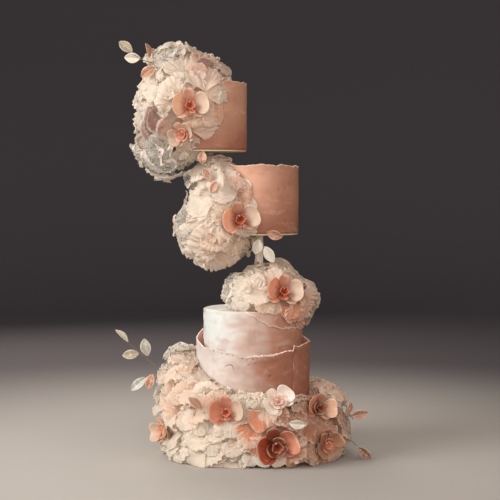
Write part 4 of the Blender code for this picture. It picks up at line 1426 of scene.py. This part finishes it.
def make_placed_sheets():
    """The sheets that give the ruffles their shape from the front, and the nets along their edges."""
    choose = random.Random(31)
    papers = Form()
    nets = Form()
    trees = {node: tree_of(node) for node in ("ruffle_top", "ruffle_mid", "ruffle_cap", "ruffle_foot")}
    for host, x, z, rim, size, fan, colour, net, proud in PLACED:
        papers.skin = nets.skin = trees[host]
        hit = papers.skin.ray_cast(Vector((x, -1, z)), Vector((0, 1, 0)))
        if not hit[0]:
            hit = papers.skin.find_nearest(Vector((x, -0.06, z)))
        point = hit[0] + Vector((0, -proud, 0))
        along = Vector((math.cos(math.radians(rim)), 0, math.sin(math.radians(rim))))
        facing = (0.8 * Vector((0, -1, 0)) + 0.2 * hit[1] - 0.15 * along).normalized()
        ruffle(
            nets if net else papers, point, facing, along, size, sheet_colours(colour), choose, fan=fan,
            frill=0.8, opening=(48, 98), net=0.62 if net else 0.0,
        )
    thicken(papers.piece("ruffle_large_petals", [PAPER], "rice_paper"), PAPER_THICKNESS)
    thicken(nets.piece("ruffle_nets", [LACE], "rice_paper"), PAPER_THICKNESS)


# ---------------------------------------------------------------- leaves

# Leaves: base in x and z, where the tip points (degrees from +X towards +Z in the front view), the turn of the
# blade about its own midrib, its length, its width and its tint.
LEAVES = {
    "leaf_top_1": ((-0.239, 0.811), 142, 10, 0.034, 0.020, PALE_GOLD),
    "leaf_top_2": ((-0.223, 0.800), 178, -12, 0.033, 0.021, LEAF_CREAM),
    "leaf_top_3": ((-0.205, 0.800), 106, 62, 0.030, 0.020, LEAF_PEACH),
    "leaf_top_4": ((-0.192, 0.779), 214, 8, 0.034, 0.021, LEAF_PEACH),
    "leaf_link_1": ((-0.099, 0.615), 268, 8, 0.026, 0.018, LEAF_PEACH),
    "leaf_link_2": ((-0.099, 0.581), 308, 6, 0.032, 0.017, LEAF_ROSE),
    "leaf_link_3": ((-0.072, 0.554), 246, 14, 0.024, 0.016, LEAF_PEACH),
    "leaf_mid_1": ((0.026, 0.455), 345, 20, 0.034, 0.020, LEAF_PEACH),
    "leaf_mid_2": ((0.012, 0.441), 256, -10, 0.032, 0.021, LEAF_CREAM),
    "leaf_mid_3": ((0.023, 0.427), 299, 6, 0.038, 0.021, LEAF_CREAM),
    "leaf_left_1": ((-0.252, 0.231), 136, 66, 0.036, 0.020, LEAF_CREAM),
    "leaf_left_2": ((-0.229, 0.209), 187, 10, 0.035, 0.019, PALE_GOLD),
    "leaf_left_3": ((-0.212, 0.203), 102, -8, 0.037, 0.022, LEAF_GREY),
    "leaf_left_4": ((-0.215, 0.162), 222, 12, 0.041, 0.019, LEAF_WHITE),
    "leaf_left_5": ((-0.200, 0.170), 252, 30, 0.034, 0.021, LEAF_PEACH),
    "leaf_foot_1": ((-0.098, 0.121), 141, 16, 0.033, 0.018, LEAF_ROSE),
    "leaf_foot_2": ((0.068, 0.094), 354, 18, 0.033, 0.020, LEAF_CREAM),
    "leaf_right_1": ((0.198, 0.086), 12, 10, 0.033, 0.020, LEAF_ROSE),
    "leaf_right_2": ((0.188, 0.094), 76, 36, 0.024, 0.016, LEAF_PEACH),
    "leaf_right_3": ((0.210, 0.026), 318, 12, 0.034, 0.019, LEAF_IN_SHADE),
}
LEAF_FOLD = 0.30
STALK_RADIUS = 0.0007
# Wires: their points in x and z.
STEMS = {
    "stem_top": ((-0.188, 0.776), (-0.199, 0.788), (-0.216, 0.794), (-0.236, 0.806)),
    "stem_left": ((-0.194, 0.182), (-0.210, 0.196), (-0.226, 0.209), (-0.249, 0.228)),
    "stem_right": ((0.188, 0.044), (0.197, 0.038), (0.207, 0.029)),
}


def make_leaf(node):
    (base_x, base_z), tip, turn, length, width, tint = LEAVES[node]
    upright = Matrix.Rotation(math.radians(90), 4, "X")
    pointing = Matrix.Rotation(math.radians(tip), 4, "Z")
    turned = Matrix.Rotation(math.radians(turn), 4, "X")
    where = Matrix.Translation((base_x, 0, base_z)) @ upright @ pointing @ turned
    seed = sum(map(ord, node)) % 89
    form = Form()

    def shape(u, v):
        side = 2 * u - 1
        half = width / 2 * math.sin(math.pi * v) ** 0.8 if 0 < v < 1 else 0
        fold = LEAF_FOLD * abs(side) * half
        curl = 0.0012 * math.sin(math.pi * v) + 0.0010 * noise.noise(Vector((2 * v, side, seed)))
        edge = smooth(0.72, 1.0, abs(side))
        rib = 1 - smooth(0.0, 0.12, abs(side))
        colour = mix(tint, LEAF_RIM, 0.5 * edge + 0.2 * rib)
        return where @ Vector((length * v, side * half, fold + curl - 0.0004 * rib)), colour

    made = form.grid(12, 18, shape)
    bmesh.ops.remove_doubles(form.bm, verts=made, dist=0.00002)
    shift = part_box(node)[0].y - min(v.co.y for v in form.bm.verts)
    bmesh.ops.translate(form.bm, verts=form.bm.verts, vec=(0, shift, 0))
    thicken(form.piece(node + "_blade", [LEAF], "leaf", [node]), 0.0006)


def wire_point(node, x, z):
    """The middle of a wire of the frame where it passes a place in the front view."""
    near = [
        v.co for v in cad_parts[node].data.vertices if math.hypot(v.co.x - x, v.co.z - z) < 0.003
    ]
    return Vector((x, sum(p.y for p in near) / len(near), z))


def tube(form, points, radii, colour):
    """A wire through the points: a ring at each, joined end to end."""
    rings = []
    for number, point in enumerate(points):
        ahead = points[min(number + 1, len(points) - 1)] - points[max(number - 1, 0)]
        where = Matrix.Translation(point) @ ahead.to_track_quat("Z", "Y").to_matrix().to_4x4()
        ring = bmesh.ops.create_circle(
            form.bm, cap_ends=number in (0, len(points) - 1), segments=8, radius=radii[number], matrix=where
        )["verts"]
        for vert in ring:
            form.paint(vert, colour)
        rings.append([e for e in {e for v in ring for e in v.link_edges}])
    for first, second in zip(rings, rings[1:]):
        bmesh.ops.bridge_loops(form.bm, edges=first + second)
    bmesh.ops.recalc_face_normals(form.bm, faces=form.bm.faces)


def make_stem(node):
    """A taped wire, bowed a little between its points."""
    corners = [wire_point(node, x, z) for x, z in STEMS[node]]
    points = []
    for number in range(len(corners) - 1):
        before = corners[max(number - 1, 0)]
        after = corners[min(number + 2, len(corners) - 1)]
        start, end = corners[number], corners[number + 1]
        for k in range(6):
            t = k / 6
            points.append(
                0.5 * (2 * start + (end - before) * t + (2 * before - 5 * start + 4 * end - after) * t**2
                       + (3 * start - before - 3 * end + after) * t**3)
            )
    points.append(corners[-1])
    form = Form()
    radii = [0.0010 - 0.0004 * k / len(points) for k in range(len(points))]
    tube(form, points, radii, tone(120, 96, 66))
    form.piece("taped_" + node, [WIRE], "wire", [node])


# Dried twigs among the paper of the foot: x and z of their ends.
TWIGS = (
    ((-0.120, 0.092), (-0.112, 0.106)), ((-0.152, 0.077), (-0.139, 0.076)), ((-0.121, 0.068), (-0.117, 0.080)),
    ((-0.010, 0.034), (0.012, 0.036)), ((0.142, 0.060), (0.154, 0.052)),
)


def make_twigs():
    tree = tree_of("ruffle_foot")
    form = Form()
    for start, end in TWIGS:
        points = []
        for share in (-0.25, 0, 0.3, 0.7, 1):
            x, z = (a + (b - a) * share for a, b in zip(start, end))
            hit = tree.ray_cast(Vector((x, -1, z)), Vector((0, 1, 0)))
            points.append((hit[0] if hit[0] else Vector((x, -0.14, z))) + Vector((0, -0.004 if share > 0 else 0.004, 0)))
        tube(form, points, [0.0008, 0.0007, 0.0006, 0.0005, 0.0003], tone(86, 62, 44))
    form.piece("ruffle_twigs", [WIRE], "wire")


# ---------------------------------------------------------------- stage


def floor_light_pool_finish():
    """A pale floor under a painted pool of light, whose colour darkens with distance into a plain darker backdrop."""
    material = bpy.data.materials.new("stage")
    material.use_nodes = True
    nodes, links = material.node_tree.nodes, material.node_tree.links
    place = nodes.new("ShaderNodeTexCoord")
    distance = nodes.new("ShaderNodeVectorMath")
    distance.operation = "LENGTH"
    links.new(place.outputs["Object"], distance.inputs[0])
    # Pale near the cake and darker further out: a painted pool of light.
    away = nodes.new("ShaderNodeMapRange")
    away.interpolation_type = "SMOOTHSTEP"
    away.inputs["From Min"].default_value = 0.42
    away.inputs["From Max"].default_value = 1.6
    links.new(distance.outputs["Value"], away.inputs["Value"])
    colours = nodes.new("ShaderNodeMix")
    colours.data_type = "RGBA"
    colours.inputs["A"].default_value = (*tone(174, 168, 162), 1)
    colours.inputs["B"].default_value = (*tone(80, 74, 78), 1)
    links.new(away.outputs["Result"], colours.inputs["Factor"])
    links.new(colours.outputs["Result"], nodes["Principled BSDF"].inputs["Base Color"])
    nodes["Principled BSDF"].inputs["Roughness"].default_value = 0.85
    return material


def make_stage():
    """A round floor whose edge sweeps up into a wall on every side."""
    bm = bmesh.new()
    radius, bend, wall = 4.4, 1.2, 4.5
    outline = [(0, 0), (0.5, 0), (1.2, 0), (2.2, 0), (radius - bend, 0)]
    outline += [
        (radius - bend + bend * math.sin(math.radians(a)), bend - bend * math.cos(math.radians(a)))
        for a in range(10, 91, 10)
    ]
    outline.append((radius, wall))
    chain = [bm.verts.new((r, 0, z)) for r, z in outline]
    links = [bm.edges.new(pair) for pair in zip(chain, chain[1:])]
    bmesh.ops.spin(
        bm, geom=chain + links, cent=(0, 0, 0), axis=(0, 0, 1), angle=2 * math.pi, steps=96, use_merge=True
    )
    bmesh.ops.remove_doubles(bm, verts=bm.verts, dist=0.0001)
    bmesh.ops.recalc_face_normals(bm, faces=bm.faces)
    for face in bm.faces:
        face.smooth = True
    mesh = bpy.data.meshes.new("floor")
    bm.to_mesh(mesh)
    bm.free()
    floor = bpy.data.objects.new("floor", mesh)
    mesh.materials.append(floor_light_pool_finish())
    bpy.context.scene.collection.objects.link(floor)


def make_light(name, place, size, power, colour):
    light = bpy.data.lights.new(name, "AREA")
    light.size = size
    light.energy = power
    light.color = colour
    obj = bpy.data.objects.new(name, light)
    obj.location = place
    aim = Vector((0, 0, 0.42)) - Vector(place)
    obj.rotation_euler = aim.to_track_quat("-Z", "Y").to_euler()
    obj.visible_camera = False
    bpy.context.scene.collection.objects.link(obj)


def make_camera():
    camera = bpy.data.cameras.new("camera")
    camera.lens = 99.36
    camera.sensor_width = 36
    obj = bpy.data.objects.new("camera", camera)
    obj.location = (-0.006, -2.8, 0.548)
    obj.rotation_euler = (math.radians(90 - 2.697), 0, 0)
    bpy.context.scene.collection.objects.link(obj)
    bpy.context.scene.camera = obj


def make_lighting():
    make_light("window", (-2.1, -1.3, 1.4), 1.6, 78, (1.0, 0.985, 0.955))
    make_light("fill", (1.75, -1.9, 1.2), 1.5, 23, (1.0, 0.86, 0.75))
    make_light("front", (0.0, -2.9, 1.15), 1.3, 38, (1.0, 0.94, 0.88))
    make_light("back", (-0.8, 2.0, 1.4), 1.4, 26, (1.0, 0.90, 0.80))
    world = bpy.data.worlds.new("studio")
    world.use_nodes = True
    world.node_tree.nodes["Background"].inputs["Color"].default_value = (1.0, 0.95, 0.91, 1)
    world.node_tree.nodes["Background"].inputs["Strength"].default_value = 0.34
    bpy.context.scene.world = world
    bpy.context.scene.view_settings.view_transform = "Standard"


make_icing()
make_ruffles()
for orchid in ORCHIDS:
    make_orchid(orchid)
for leaf in LEAVES:
    make_leaf(leaf)
for stem in STEMS:
    make_stem(stem)
make_twigs()
make_stage()
make_lighting()
make_camera()
